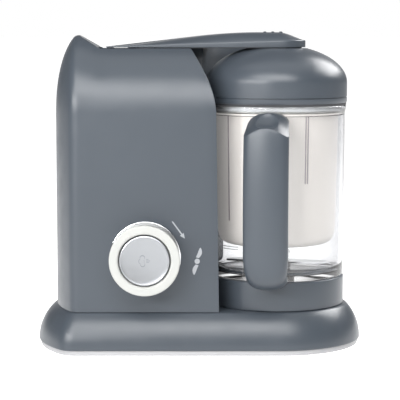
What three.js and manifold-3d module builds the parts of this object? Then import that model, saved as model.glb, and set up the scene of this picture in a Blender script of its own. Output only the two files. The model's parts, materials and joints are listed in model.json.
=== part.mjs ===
// Baby food maker: a steamer and blender in one. A housing on the left holds the boiler,
// the motor and the knob. A clear jug stands on the right end of the base, under a domed
// lid and a hinged arm that brings the steam to it.
// Millimetres, +Z up, the knob faces -Y, and the jug stands towards +X.

import * as THREE from 'three';
import { mergeVertices } from 'three/addons/utils/BufferGeometryUtils.js';
import Module from 'manifold-3d';

const wasm = await Module();
wasm.setup();

// ---------------------------------------------------------------- driving dimensions

const GAP = 0.3;                 // clearance between neighbouring pieces
const WALL = 2.5;                // moulded wall thickness
const ROUND = 28;                // facets round the jug, the lid and what fits them

// Base
const BASE_LEFT = -133.6;
const BASE_RIGHT = 132.5;
const BASE_HALF_DEPTH = 69.5;
const PLATE_TOP = 4;
const DECK = 33;                 // height of the base's top deck
const SPREAD_AT = [[0, 33], [0.42, 27], [0.66, 22], [0.8, 17], [0.9, 12], [0.98, 7], [1, 4.3]];

// Jug
const JUG_X = BASE_RIGHT - BASE_HALF_DEPTH;
const JUG_RADIUS = 56.2;
const JUG_FOOT_RADIUS = 55.3;
const JUG_FOOT = 56.8;
const JUG_RIM = 198;
const FLOOR_HOLE = 10.6;
const RING_RADIUS = 55.9;
const HANDLE_TURN = -8 * Math.PI / 180;
const HANDLE_HALF_WIDTH = 17.7;

// Lid
const LID_RADIUS = 57.8;
const LID_FOOT = JUG_RIM + 0.4;
const LID_SHOULDER = 214.5;
const LID_DOME = 31;             // rise of the dome above its shoulder
const LID_CAP = 242.5;           // height of the flat under the arm

// Housing
const BODY_LEFT = -118.3;
const BODY_CORNER = -102;        // where the flat front meets the bulging left side
const BODY_HALF_DEPTH = 57;
const LEAN = 2;                  // how far the front leans back up to the spring line
const SPRING_LINE = 190;
const VAULT_RISE = 58;
const HORN_RISE = 63.4;
const HORN = { peak: -98.8, top: 253.2, foot: -81 };
const BODY_FLAT = 242.5;         // flat top under the arm
const RECESS_RADIUS = 74;        // hollow that the jug stands in, about the jug's axis
const SHIELD = { inner: 60.5, outer: 64.5, foot: 200, top: 241.7, near: 3, webFar: 20, end: 39 };
const INLET = { x: -88, z: 48, radius: 6, bore: 3.6 };

// Arm
const HINGE = { x: -75, z: 239.5 };
const NOTCH = { left: -81.8, right: -67, halfWidth: 23, floor: 234.5 };
const EAR = { near: 10.4, far: 15, radius: 3.2 };
const PIN_RADIUS = 1.5;
const ARM_LEFT = -76;
const ARM_RIGHT = 86.3;
const ARM_HALF_WIDTH = 22;
const ARM_UNDERSIDE = 243.3;
const LINER_LEFT = -38;          // the arm is solid between its hinge and here

// Boiler
const BOILER_X = -45;
const BOILER_NECK = 17.6;
const COLLAR_RADIUS = 24;        // collar between the boiler's neck and the housing
const COLLAR_LOW = 233;

// Knob
const KNOB = { x: -43.5, z: 77.9 };
const KNOB_RADIUS = 28.5;
const KNOB_FRONT = -81;
const BUTTON_RADIUS = 19.9;
const KNOB_HOLE = 9;
const BODY_FRONT = -56.5;        // the housing's face behind the knob

// Drive
const MOTOR_X = -68;
const MOTOR_RADIUS = 26;
const MOTOR_PULLEY = 9;
const DRIVE_PULLEY = 24;
const BELT_LOW = 15.5;
const BELT_HIGH = 22.5;
const BELT_THICKNESS = 1.6;
const TURRET_RADIUS = 44;
const TURRET_TOP = 40;
const SPINDLE_RADIUS = 4;
const BLADE_RADIUS = 42;

// ---------------------------------------------------------------- solids from geometries

// Six times the signed volume: negative where the faces point inwards.
function windingSum(points, triangles) {
  const [a, b, c] = [new THREE.Vector3(), new THREE.Vector3(), new THREE.Vector3()];
  let sum = 0;
  for (let i = 0; i < triangles.length; i += 3) {
    a.fromArray(points, 3 * triangles[i]);
    b.fromArray(points, 3 * triangles[i + 1]);
    c.fromArray(points, 3 * triangles[i + 2]);
    sum += a.dot(b.cross(c));
  }
  return sum;
}

function toSolid(geometry) {
  const bare = geometry.clone();
  bare.deleteAttribute('normal');
  bare.deleteAttribute('uv');
  const merged = mergeVertices(bare, 1e-4);
  const points = new Float32Array(merged.attributes.position.array);
  const index = merged.index.array;
  const kept = [];
  for (let i = 0; i < index.length; i += 3) {
    const [a, b, c] = [index[i], index[i + 1], index[i + 2]];
    if (a !== b && b !== c && c !== a) kept.push(a, b, c);
  }
  if (windingSum(points, kept) < 0) kept.reverse();
  const triVerts = new Uint32Array(kept);
  return new wasm.Manifold(new wasm.Mesh({ numProp: 3, vertProperties: points, triVerts }));
}

function toGeometry(solid) {
  const mesh = solid.getMesh();
  const geometry = new THREE.BufferGeometry();
  geometry.setAttribute('position', new THREE.BufferAttribute(mesh.vertProperties, 3));
  geometry.setIndex(new THREE.BufferAttribute(mesh.triVerts, 1));
  geometry.computeVertexNormals();
  return geometry;
}

const join = (...solids) => solids.reduce((whole, piece) => whole.add(piece));
const cut = (solid, ...tools) => tools.reduce((rest, tool) => rest.subtract(tool), solid);
const vectors = (points) => points.map(([x, y]) => new THREE.Vector2(x, y));

// A turned solid about Z from its [radius, height] profile. A profile off the axis is closed.
function turned(profile, segments = 24) {
  const onAxis = profile[0][0] === 0;
  const points = vectors(onAxis ? profile : [...profile, profile[0]]);
  return toSolid(new THREE.LatheGeometry(points, segments).rotateX(Math.PI / 2));
}

function extruded(shape, from, to, curveSegments = 8) {
  const options = { depth: to - from, bevelEnabled: false, curveSegments };
  return new THREE.ExtrudeGeometry(shape, options).translate(0, 0, from);
}

// Shapes drawn in X-Y and raised along Z, drawn in X-Z and run along Y, or drawn in Y-Z and
// run along X.
const upright = (shape, low, high, detail) => toSolid(extruded(shape, low, high, detail));
const acrossY = (shape, near, far, detail) =>
  toSolid(extruded(shape, -far, -near, detail).rotateX(Math.PI / 2));
function acrossX(shape, left, right, detail) {
  const turn = new THREE.Matrix4().makeBasis(
    new THREE.Vector3(0, 1, 0), new THREE.Vector3(0, 0, 1), new THREE.Vector3(1, 0, 0));
  return toSolid(extruded(shape, left, right, detail).applyMatrix4(turn));
}

const outline = (points) => new THREE.Shape(vectors(points));

function block(x0, x1, y0, y1, z0, z1) {
  const geometry = new THREE.BoxGeometry(x1 - x0, y1 - y0, z1 - z0);
  return toSolid(geometry.translate((x0 + x1) / 2, (y0 + y1) / 2, (z0 + z1) / 2));
}

function post(x, y, radius, low, high, sides = 16) {
  const geometry = new THREE.CylinderGeometry(radius, radius, high - low, sides);
  return toSolid(geometry.rotateX(Math.PI / 2).translate(x, y, (low + high) / 2));
}

function rod(x, z, radius, near, far, sides = 16) {
  const geometry = new THREE.CylinderGeometry(radius, radius, far - near, sides);
  return toSolid(geometry.translate(x, (near + far) / 2, z));
}

// A turned piece whose profile runs along -Y, as the knob's pieces do: [radius, y].
function turnedAlongY(profile, segments) {
  const points = vectors([...profile, ...(profile[0][0] === 0 ? [] : [profile[0]])]);
  return toSolid(new THREE.LatheGeometry(points, segments));
}

// A skin over rings of equal length, closed at both ends. The rings are convex.
function lofted(rings) {
  const count = rings[0].length;
  const points = rings.flat();
  const faces = [];
  for (let level = 0; level + 1 < rings.length; level += 1) {
    for (let i = 0; i < count; i += 1) {
      const a = level * count + i;
      const b = level * count + (i + 1) % count;
      faces.push(a, b, b + count, a, b + count, a + count);
    }
  }
  const top = (rings.length - 1) * count;
  for (let i = 1; i + 1 < count; i += 1) faces.push(0, i + 1, i, top, top + i, top + i + 1);
  const geometry = new THREE.BufferGeometry().setFromPoints(points);
  geometry.setIndex(faces);
  return toSolid(geometry);
}

function arcPoints(cx, cy, rx, ry, from, to, steps) {
  const points = [];
  for (let i = 0; i <= steps; i += 1) {
    const angle = from + (to - from) * i / steps;
    points.push([cx + rx * Math.cos(angle), cy + ry * Math.sin(angle)]);
  }
  return points;
}

// ---------------------------------------------------------------- materials

const finish = (color, roughness, metalness = 0) => ({ color, roughness, metalness });
const GREY = finish(0x6b727c, 0.38);
const GREY_DARK = finish(0x53575f, 0.5);
const WHITE = finish(0xefefec, 0.4);
const SILVER = finish(0xc9ccce, 0.35, 0.3);
const CREAM = finish(0xe8e3dd, 0.45);
const CLEAR = { ...finish(0xeef2f3, 0.08), transparent: true, opacity: 0.3 };
const STEEL = finish(0xb9bcbf, 0.25, 1);
const BRASS = finish(0xb08d57, 0.35, 1);
const RUBBER = finish(0x3a3c3f, 0.8);
const SILICONE = finish(0xd9dbdc, 0.6);
const BOARD = finish(0x2f6b46, 0.6);

const maker = new THREE.Group();

function place(name, solid, look, group) {
  const mesh = new THREE.Mesh(toGeometry(solid), new THREE.MeshStandardMaterial(look));
  mesh.name = name;
  group.add(mesh);
  return mesh;
}

function subgroup(x, y, z) {
  const group = new THREE.Group();
  group.position.set(x, y, z);
  maker.add(group);
  return group;
}

// ---------------------------------------------------------------- base

// Plan of the base and of the housing on it: a flat front and back, the jug's half circle at
// the right end and a bulging arc at the left end. Spread runs from 0 at the deck to 1 at
// the foot, and inset moves the outline inwards.
function basePlan(spread, inset = 0) {
  const depth = BODY_HALF_DEPTH + (BASE_HALF_DEPTH - BODY_HALF_DEPTH) * spread - inset;
  const left = BODY_LEFT + (BASE_LEFT - BODY_LEFT) * spread + inset;
  const corner = BODY_CORNER - 6 * spread + inset * 0.6;
  const sagitta = corner - left;
  const radius = (depth * depth + sagitta * sagitta) / (2 * sagitta);
  const half = Math.asin(depth / radius);
  const right = arcPoints(JUG_X, 0, depth, depth, -Math.PI / 2, Math.PI / 2, 18);
  const bulge = arcPoints(left + radius, 0, radius, radius, Math.PI - half, Math.PI + half, 8);
  return [...right, ...bulge];
}

const planRing = (spread, inset, z) =>
  basePlan(spread, inset).map(([x, y]) => new THREE.Vector3(x, y, z));

const skirt = (inset, lower) =>
  lofted(SPREAD_AT.map(([spread, z]) => planRing(spread, inset, z - lower)));

const CORNERS = [[-1, -1], [-1, 1], [1, -1], [1, 1]];
const BASE_SCREWS = CORNERS.map(([sx, sy]) => [sx < 0 ? -106 : 104, 30 * sy]);
const FEET = CORNERS.map(([sx, sy]) => [sx < 0 ? -92 : 88, 46 * sy]);
const BODY_SCREWS = CORNERS.map(([sx, sy]) => [sx < 0 ? -99 : -13, (sx < 0 ? 36 : 44) * sy]);

function baseShell() {
  const floorHole = post(JUG_X, 0, 8 + GAP, 20, 50, 20);
  const turret = post(JUG_X, 0, TURRET_RADIUS, DECK - 1, TURRET_TOP, ROUND);
  const hub = post(JUG_X, 0, 11.5, 26, TURRET_TOP - 1, 20);
  const underTurret = post(JUG_X, 0, TURRET_RADIUS - WALL, 20, TURRET_TOP - WALL, ROUND);
  const bosses = BASE_SCREWS.map(([x, y]) => post(x, y, 4.5, PLATE_TOP + GAP, DECK - 1, 12));
  const bossBores = BASE_SCREWS.map(([x, y]) => post(x, y, 1.6 + GAP, 0, 26, 10));
  const bodyScrewHoles = BODY_SCREWS.map(([x, y]) => post(x, y, 1.4 + GAP, 20, 50, 10));
  const hollow = skirt(WALL, WALL);
  const wiringHole = block(-94, -24, -27, 27, 20, 50);
  const shell = cut(join(skirt(0, 0), turret), hollow, underTurret);
  return cut(join(shell, hub, ...bosses), floorHole, wiringHole, ...bossBores,
    ...bodyScrewHoles);
}

function basePlate() {
  const plate = upright(outline(basePlan(1, 1.6)), 0, PLATE_TOP);
  const hollow = upright(outline(basePlan(1, 4.2)), 3, PLATE_TOP + 1);
  const bearingBoss = post(JUG_X, 0, 11.5, 2, 10, 20);
  const bearingBore = post(JUG_X, 0, 8 + GAP, 4, 12, 20);
  const pockets = FEET.map(([x, y]) => post(x, y, 9 + GAP, -1, 2.2, 16));
  const heads = BASE_SCREWS.map(([x, y]) => post(x, y, 3.6 + GAP, -1, 2, 12));
  const shanks = BASE_SCREWS.map(([x, y]) => post(x, y, 1.6 + GAP, -1, 5, 10));
  return cut(join(plate.subtract(hollow), bearingBoss), bearingBore,
    ...pockets, ...heads, ...shanks);
}

const screw = (x, y, headLow, headHigh, tip, head, shank) =>
  join(post(x, y, head, headLow, headHigh, 12), post(x, y, shank, headHigh - 0.5, tip, 8));

const base = subgroup(0, 0, 0);
place('base_shell', baseShell(), GREY, base);
place('base_plate', basePlate(), WHITE, base);
FEET.forEach(([x, y], i) => place(`foot_${i + 1}`, post(x, y, 9, 0, 1.9, 16), RUBBER, base));
BASE_SCREWS.forEach(([x, y], i) =>
  place(`base_screw_${i + 1}`, screw(x, y, 0.5, 1.7, 20, 3.6, 1.6), STEEL, base));
BODY_SCREWS.forEach(([x, y], i) =>
  place(`body_screw_${i + 1}`, screw(x, y, 28, 30.2, 46, 3.2, 1.4), STEEL, base));

// ---------------------------------------------------------------- housing

// Cross-section of the housing at one station along X: upright sides under a half ellipse.
function vaultRing(x, rise, inset, low) {
  const spring = BODY_HALF_DEPTH - LEAN - inset;
  const arch = arcPoints(0, SPRING_LINE, spring, rise - inset, 0, Math.PI, 16);
  const foot = BODY_HALF_DEPTH - inset;
  const section = [[-foot, low], [foot, low], ...arch];
  return section.map(([y, z]) => new THREE.Vector3(x, y, z));
}

function vault(inset, low) {
  const stations = [[-125, HORN_RISE], [-97, HORN_RISE], [-80, VAULT_RISE], [35, VAULT_RISE]];
  return lofted(stations.map(([x, rise]) => vaultRing(x, rise, inset, low)));
}

// Silhouette of the housing seen from the front: the left side curves in to a horn, whose
// right flank slopes down to the hinge, and the flat top runs on to the jug's recess.
function silhouette(inset, low) {
  const left = BODY_LEFT + inset;
  const shape = new THREE.Shape();
  shape.moveTo(left, low);
  shape.lineTo(left, SPRING_LINE);
  shape.bezierCurveTo(left, 218, left + 5.5, 236, left + 11, 245.5 - inset);
  shape.quadraticCurveTo(left + 15.5, HORN.top - inset, HORN.peak + inset / 2,
    HORN.top - inset);
  shape.lineTo(HORN.foot, BODY_FLAT - 0.7 - inset);
  shape.lineTo(HORN.foot + 2, BODY_FLAT - 1.6 * inset);
  shape.lineTo(35, BODY_FLAT - 1.6 * inset);
  shape.lineTo(35, low);
  return shape;
}

function housing(inset, low) {
  const plan = upright(outline(basePlan(0, inset)), low, 260);
  const side = acrossY(silhouette(inset, low), -70, 70, 5);
  const recess = post(JUG_X, 0, RECESS_RADIUS + inset, low - 1, 270, 48);
  return vault(inset, low).intersect(side).intersect(plan).subtract(recess);
}

function bodyShell() {
  const low = DECK + GAP;
  const notchSpace = (wall) => block(NOTCH.left - wall, NOTCH.right + wall,
    -NOTCH.halfWidth - wall, NOTCH.halfWidth + wall, NOTCH.floor - wall, 260);
  const hollow = housing(WALL, low - 10).subtract(notchSpace(WALL));
  const posts = BODY_SCREWS.map(([x, y]) => post(x, y, 4, low, 60));
  const ribs = BODY_SCREWS.map(([x, y]) =>
    block(x - 1.2, x + 1.2, Math.min(y, 56 * Math.sign(y)), Math.max(y, 56 * Math.sign(y)), low, 58));
  const postBores = BODY_SCREWS.map(([x, y]) => post(x, y, 1.4 + GAP, low - 1, 50, 12));
  const ear = (near, far) => rod(HINGE.x, HINGE.z, EAR.radius, near, far)
    .add(block(HINGE.x - 3, HINGE.x + 3, near, far, NOTCH.floor - 1.5, HINGE.z));
  const shell = join(housing(0, low).subtract(hollow).subtract(notchSpace(0)),
    ear(EAR.near, EAR.far), ear(-EAR.far, -EAR.near), ...posts, ...ribs);
  return cut(shell, ...postBores,
    rod(HINGE.x, HINGE.z, PIN_RADIUS + GAP, -EAR.far - 1, EAR.far + 1, 12),
    post(BOILER_X, 0, COLLAR_RADIUS + GAP, COLLAR_LOW, 260, 24),
    rod(KNOB.x, KNOB.z, KNOB_HOLE, -70, -40, 20),
    rod(INLET.x, INLET.z, INLET.radius + GAP, 40, 70, 16));
}

// Shield that wraps round the back of the lid, on a web that stands in the recess.
function lidShield() {
  const drum = (radius, grow) =>
    post(JUG_X, 0, radius, SHIELD.foot - grow, SHIELD.top + grow, 48);
  const slab = (right, far) =>
    block(-20, right, SHIELD.near, far, SHIELD.foot, SHIELD.top);
  const wall = drum(SHIELD.outer, 0).intersect(slab(SHIELD.end, 70));
  const web = drum(RECESS_RADIUS - GAP, 0).intersect(slab(JUG_X - SHIELD.inner, SHIELD.webFar));
  return cut(join(wall, web), drum(SHIELD.inner, 1));
}

function knobBezel() {
  const front = BODY_FRONT - 1.4;
  return turnedAlongY([[24.5, BODY_FRONT - GAP], [27.6, BODY_FRONT - GAP], [27.6, front + 0.3],
    [24.5, front]], 32);
}

function boilerTank() {
  return turned([[0, 168], [24, 168], [27, 171], [27, 212], [BOILER_NECK, 224],
    [BOILER_NECK, 241.3], [20.6, 241.3], [20.6, 242.2], [16.6, 242.2], [16.6, 224],
    [25.8, 211.5], [25.8, 171.5], [23.5, 169.2], [0, 169.2]], 24);
}

// Collar that closes the gap between the housing and the boiler's neck.
function boilerCollar() {
  const bore = BOILER_NECK + GAP;
  return turned([[bore, COLLAR_LOW], [COLLAR_RADIUS, COLLAR_LOW], [COLLAR_RADIUS, BODY_FLAT - 0.3],
    [COLLAR_RADIUS - 0.4, BODY_FLAT], [20.9, BODY_FLAT], [20.9, 241], [bore, 241]], 24);
}

function motorMount() {
  const plate = block(-97, -21, -31, 31, DECK + GAP, 36.3);
  return cut(plate, post(MOTOR_X, 0, 8, 30, 40, 20));
}

function selectorSwitch() {
  const bore = rod(KNOB.x, KNOB.z, 3 + GAP, -60, -42, 12);
  return cut(block(-57, -30, -50, -33, 64, 92), bore);
}

function cordInlet() {
  const sleeve = rod(INLET.x, INLET.z, INLET.radius, 52, 60, 16);
  const flange = rod(INLET.x, INLET.z, INLET.radius + 2.5, 57.2, 60.5, 16);
  return cut(sleeve.add(flange), rod(INLET.x, INLET.z, INLET.bore, 50, 62, 12));
}

const body = subgroup(0, 0, 0);
place('body_shell', bodyShell(), GREY, body);
place('lid_shield', lidShield(), GREY, base);
const bezel = place('knob_bezel', knobBezel(), SILVER, body);
bezel.position.set(KNOB.x, 0, KNOB.z);
const boiler = subgroup(BOILER_X, 0, 0);
place('boiler_tank', boilerTank(), STEEL, boiler);
place('boiler_collar', boilerCollar(), GREY_DARK, boiler);
place('boiler_heater', turned([[0, 160], [24, 160], [24, 167.7], [0, 167.7]], 24), STEEL, boiler);
place('thermostat', post(0, 0, 8, 150, 159.7), RUBBER, boiler);
place('motor_mount', motorMount(), STEEL, body);
place('selector_switch', selectorSwitch(), GREY_DARK, body);
place('control_board', block(-92, -30, 40, 41.6, 62, 130), BOARD, body);
place('cord_inlet', cordInlet(), RUBBER, body);
place('hinge_pin', rod(HINGE.x, HINGE.z, PIN_RADIUS, 0.2 - EAR.far, EAR.far - 0.2, 12), STEEL,
  body);

// ---------------------------------------------------------------- motor and belt drive

// Outline of a belt round the motor's pulley and the drive pulley, at a distance from them.
function beltOutline(distance) {
  const [small, large] = [MOTOR_PULLEY + distance, DRIVE_PULLEY + distance];
  const lean = Math.asin((large - small) / (JUG_X - MOTOR_X));
  const turn = Math.PI / 2 + lean;
  return [...arcPoints(JUG_X, 0, large, large, -turn, turn, 20),
    ...arcPoints(MOTOR_X, 0, small, small, turn, 2 * Math.PI - turn, 10)];
}

function driveBelt() {
  const around = upright(outline(beltOutline(GAP + BELT_THICKNESS)), BELT_LOW, BELT_HIGH);
  return around.subtract(upright(outline(beltOutline(GAP)), BELT_LOW - 1, BELT_HIGH + 1));
}

// A flat-belt pulley with a flange on each side of the belt.
function pulley(radius, bore) {
  const low = BELT_LOW - GAP;
  const high = BELT_HIGH + GAP;
  return turned([[bore, low - 1.4], [radius + 2, low - 1.4], [radius + 2, low], [radius, low],
    [radius, high], [radius + 2, high], [radius + 2, high + 1.4], [bore, high + 1.4]], 20);
}

const motor = subgroup(MOTOR_X, 0, 0);
place('motor_can', turned([[3.4, 36.6], [MOTOR_RADIUS, 36.6], [MOTOR_RADIUS, 96], [9, 98],
  [9, 103], [3.4, 103]], 20), STEEL, motor);
place('motor_shaft', post(0, 0, 2.5, 10, 105, 14), STEEL, motor);
place('motor_pulley', pulley(MOTOR_PULLEY, 2.5 + GAP), GREY_DARK, motor);
place('drive_belt', driveBelt(), RUBBER, base);
place('interlock_switch', block(53, 73, 33, 40, 18, 28), GREY_DARK, base);

const bush = (low, high) => turned([[SPINDLE_RADIUS + GAP, low], [8, low], [8, high],
  [SPINDLE_RADIUS + GAP, high]], 20);

// A six-lobed dog: a socket of the same outline, a little larger, fits over it.
function dogOutline(radius) {
  const points = [];
  for (let i = 0; i < 36; i += 1) {
    const angle = i * Math.PI / 18;
    const reach = radius - 0.8 * (1 - Math.cos(6 * angle));
    points.push([reach * Math.cos(angle), reach * Math.sin(angle)]);
  }
  return outline(points);
}

function driveCoupling() {
  const bore = post(0, 0, SPINDLE_RADIUS + GAP, 30, 47.3);
  return cut(upright(dogOutline(7.2), TURRET_TOP + GAP, 49.5), bore);
}

function bladeHub() {
  const stem = turned([[0, 43], [9, 43], [9, 62], [12, 62], [12, 66], [6, 66], [6, 74],
    [0, 74]], 24);
  return cut(stem, upright(dogOutline(7.7), 40, 50));
}

// An S-shaped blade: two arms swept back like a propeller's, round a hole for the hub.
function bladePlate(low) {
  const arm = new THREE.Shape();
  arm.moveTo(-9, -3);
  arm.quadraticCurveTo(10, -16, BLADE_RADIUS - 6, -13);
  arm.quadraticCurveTo(BLADE_RADIUS, -12, BLADE_RADIUS - 1, -6);
  arm.quadraticCurveTo(24, 0, 6, 10);
  arm.lineTo(-6, 8);
  const half = upright(arm, low, low + 1.5, 6);
  const whole = join(half, half.rotate([0, 0, 180]), post(0, 0, 11, low, low + 1.5, 24));
  return cut(whole, post(0, 0, 6 + GAP, low - 1, low + 3, 20));
}

const drive = subgroup(JUG_X, 0, 0);
place('drive_bearing_upper', bush(28, TURRET_TOP), BRASS, drive);
place('drive_bearing_lower', bush(5, 10), BRASS, drive);
place('drive_spindle', post(0, 0, SPINDLE_RADIUS, 4.6, 47, 16), STEEL, drive);
place('drive_pulley', pulley(DRIVE_PULLEY, SPINDLE_RADIUS + GAP), GREY_DARK, drive);
place('drive_coupling', driveCoupling(), RUBBER, drive);
place('blade_hub', bladeHub(), GREY_DARK, drive);
place('blade_low', bladePlate(66 + GAP), STEEL, drive);
place('blade_spacer', turned([[6 + GAP, 68.1], [9, 68.1], [9, 69.7], [6 + GAP, 69.7]], 20),
  GREY_DARK, drive);
const bladeHigh = place('blade_high', bladePlate(70), STEEL, drive);
bladeHigh.rotation.z = Math.PI / 2;
place('blade_cap', turned([[0, 74 + GAP], [6 + GAP, 74 + GAP], [6 + GAP, 71.8], [9, 71.8],
  [9, 76], [6, 79], [0, 79.6]], 24), GREY_DARK, drive);

// ---------------------------------------------------------------- knob and button

const knob = subgroup(KNOB.x, 0, KNOB.z);
const KNOB_BACK = BODY_FRONT - 1.4 - 2 * GAP;

function knobRing() {
  return turnedAlongY([[3 + GAP, KNOB_BACK], [KNOB_RADIUS - 1, KNOB_BACK],
    [KNOB_RADIUS, KNOB_BACK - 1], [KNOB_RADIUS, KNOB_FRONT + 4],
    [KNOB_RADIUS - 1.2, KNOB_FRONT + 1.2], [KNOB_RADIUS - 3.6, KNOB_FRONT],
    [BUTTON_RADIUS + 1.6, KNOB_FRONT], [BUTTON_RADIUS + 0.6, KNOB_FRONT + 0.8],
    [BUTTON_RADIUS + 0.6, KNOB_BACK - 3.5], [3 + GAP, KNOB_BACK - 3.5]], 32);
}

function steamButton() {
  const face = KNOB_FRONT + 0.2;
  return turnedAlongY([[0, face + 14], [5, face + 14], [5, face + 9], [BUTTON_RADIUS, face + 9],
    [BUTTON_RADIUS, face + 1.2], [BUTTON_RADIUS - 1.2, face + 0.3], [0, face - 0.1]], 32);
}

class Helix extends THREE.Curve {
  constructor(radius, turns, length) {
    super();
    Object.assign(this, { radius, turns, length });
  }

  getPoint(t, target = new THREE.Vector3()) {
    const angle = 2 * Math.PI * this.turns * t;
    const [x, z] = [this.radius * Math.cos(angle), this.radius * Math.sin(angle)];
    return target.set(x, -this.length * t, z);
  }
}

function buttonSpring() {
  const wire = new THREE.Shape().absarc(0, 0, 0.6, 0, 2 * Math.PI);
  const path = new Helix(8, 2.5, 5);
  const coil = new THREE.ExtrudeGeometry(wire,
    { steps: 30, curveSegments: 3, bevelEnabled: false, extrudePath: path });
  return toSolid(coil.translate(0, KNOB_BACK - 4.6, 0));
}

place('knob_ring', knobRing(), WHITE, knob);
place('knob_shaft', turnedAlongY([[0, -43], [3, -43], [3, KNOB_BACK - 5.6],
  [0, KNOB_BACK - 5.6]], 12), STEEL, knob);
place('steam_button', steamButton(), SILVER, knob);
place('button_spring', buttonSpring(), STEEL, knob);

// ---------------------------------------------------------------- jug, lid and basket

const jug = subgroup(JUG_X, 0, 0);
jug.rotation.z = HANDLE_TURN;

const PEG_CIRCLE = 47;
const PEG_TURNS = [0, 1, 2].map((i) => 2 * Math.PI * i / 3);
const pegs = (radius, low, high) => PEG_TURNS.map((turn) =>
  post(PEG_CIRCLE * Math.cos(turn), PEG_CIRCLE * Math.sin(turn), radius, low, high, 12));

// The ring that turns with the jug and works the interlock, with three drive pegs.
function lockRing() {
  const ring = turned([[TURRET_RADIUS + 0.6, DECK + GAP], [49.4, DECK + GAP], [49.4, 38],
    [TURRET_RADIUS + 0.6, 38]], ROUND);
  return join(ring, ...pegs(2, 37.5, 41.6));
}

function bowlBaseRing() {
  const ring = turned([[50, DECK + GAP], [RING_RADIUS - 0.6, DECK + GAP],
    [RING_RADIUS, DECK + 1], [RING_RADIUS, 55.5], [RING_RADIUS - 1, JUG_FOOT - GAP],
    [FLOOR_HOLE, JUG_FOOT - GAP], [FLOOR_HOLE, 54], [50, 54], [50, 42],
    [TURRET_RADIUS + 0.8, 42], [TURRET_RADIUS + 0.8, 38.6], [50, 38.6]], ROUND);
  return cut(ring, ...pegs(2.5, 38, 43));
}

function bowlWall() {
  return turned([[FLOOR_HOLE, 58], [JUG_FOOT_RADIUS - 4, JUG_FOOT], [JUG_FOOT_RADIUS, JUG_FOOT],
    [JUG_FOOT_RADIUS + 0.3, 62], [JUG_RADIUS, 190], [JUG_RADIUS + 1, 193.5],
    [JUG_RADIUS + 1, JUG_RIM], [54.9, JUG_RIM], [54.9, 189], [53.4, 189],
    [51.9, 64], [48, 60.6], [FLOOR_HOLE, 60.6]], ROUND);
}

function bowlSeal() {
  return turned([[9.3, 54.5], [10.3, 54.5], [10.3, 60.2], [9.3, 60.2]], 24);
}

// Handle: a C-shaped grip seen from the side, rounded off as seen from the front.
function bowlHandle() {
  const side = new THREE.Shape();
  side.moveTo(-50, 192.4);
  side.lineTo(-66, 192.6);
  side.bezierCurveTo(-82, 193, -90, 186, -92.5, 172);
  side.bezierCurveTo(-97, 145, -99, 110, -97, 80);
  side.bezierCurveTo(-96, 62, -88, 56, -74, 53.5);
  side.lineTo(-50, 52);
  side.lineTo(-50, 66);
  side.bezierCurveTo(-72, 68, -79, 72, -81, 84);
  side.bezierCurveTo(-83.5, 110, -83, 140, -80, 160);
  side.bezierCurveTo(-78.5, 172, -74, 176, -64, 176.5);
  side.lineTo(-50, 176.5);
  const run = acrossX(side, -HANDLE_HALF_WIDTH, HANDLE_HALF_WIDTH, 8);
  const width = HANDLE_HALF_WIDTH;
  const front = new THREE.Shape();
  front.absarc(-width + 8, 186, 8, Math.PI, Math.PI / 2, true);
  front.absarc(width - 8, 186, 8, Math.PI / 2, 0, true);
  front.absarc(width - 16, 67.5, 16, 0, -Math.PI / 2, true);
  front.absarc(-width + 16, 67.5, 16, -Math.PI / 2, -Math.PI, true);
  const grip = run.intersect(acrossY(front, -110, 0, 7));
  const jugSpace = post(0, 0, JUG_RADIUS + 2 * GAP, 40, 200, ROUND);
  const rimSpace = post(0, 0, JUG_RADIUS + 1 + 2 * GAP, 189.5, 200, ROUND);
  return cut(grip, jugSpace, rimSpace);
}

function lidDome() {
  const cap = Math.acos((LID_CAP - LID_SHOULDER) / LID_DOME);
  const curve = (radius, rise, steps) =>
    arcPoints(0, LID_SHOULDER, radius, rise, 0, Math.PI / 2 - cap, steps);
  const outer = curve(LID_RADIUS, LID_DOME, 7);
  const inner = curve(LID_RADIUS - WALL, LID_DOME - WALL, 5).reverse();
  return turned([[LID_RADIUS - WALL, LID_FOOT], [LID_RADIUS, LID_FOOT], ...outer,
    [11, LID_CAP], [11, 239.5], [5, 239.5], [5, 237], [12, 237], ...inner], ROUND);
}

// Inner cover of the lid, whose skirt plugs into the jug and carries the seal.
function lidLiner() {
  return turned([[51.6, 192], [53.4, 192], [53.4, 203], [50, 216], [40, 226], [24, 233],
    [5, 236.4], [5, 234.4], [23, 231], [39, 224], [48.5, 215], [51.6, 203]], ROUND);
}

function lidSeal() {
  return turned([[53.4 + GAP, 193], [54.2, 193], [54.5, 194.2], [54.2, 195.4],
    [53.4 + GAP, 195.4]], ROUND);
}

const BASKET_RADIUS = 50.7;
const BASKET_FOOT = 82;

// Steam holes in the basket's floor, in two rings and one in the middle.
function steamHoles() {
  const holes = [post(0, 0, 2.4, 78, 88, 6)];
  for (const [radius, count] of [[14, 6], [28, 10]]) {
    for (let i = 0; i < count; i += 1) {
      const turn = 2 * Math.PI * i / count;
      holes.push(post(radius * Math.cos(turn), radius * Math.sin(turn), 2.4, 78, 88, 6));
    }
  }
  return holes;
}

function steamBasket() {
  const cup = turned([[0, BASKET_FOOT], [36, BASKET_FOOT], [44, 84.5], [48.6, 92],
    [BASKET_RADIUS, 189 + GAP], [54.4, 189 + GAP], [54.4, 191.2], [BASKET_RADIUS - 1.8, 191.2],
    [46.8, 93], [43, 86.6], [36, 84.2], [0, 84.2]], ROUND);
  return cut(cup, ...steamHoles());
}

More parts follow.
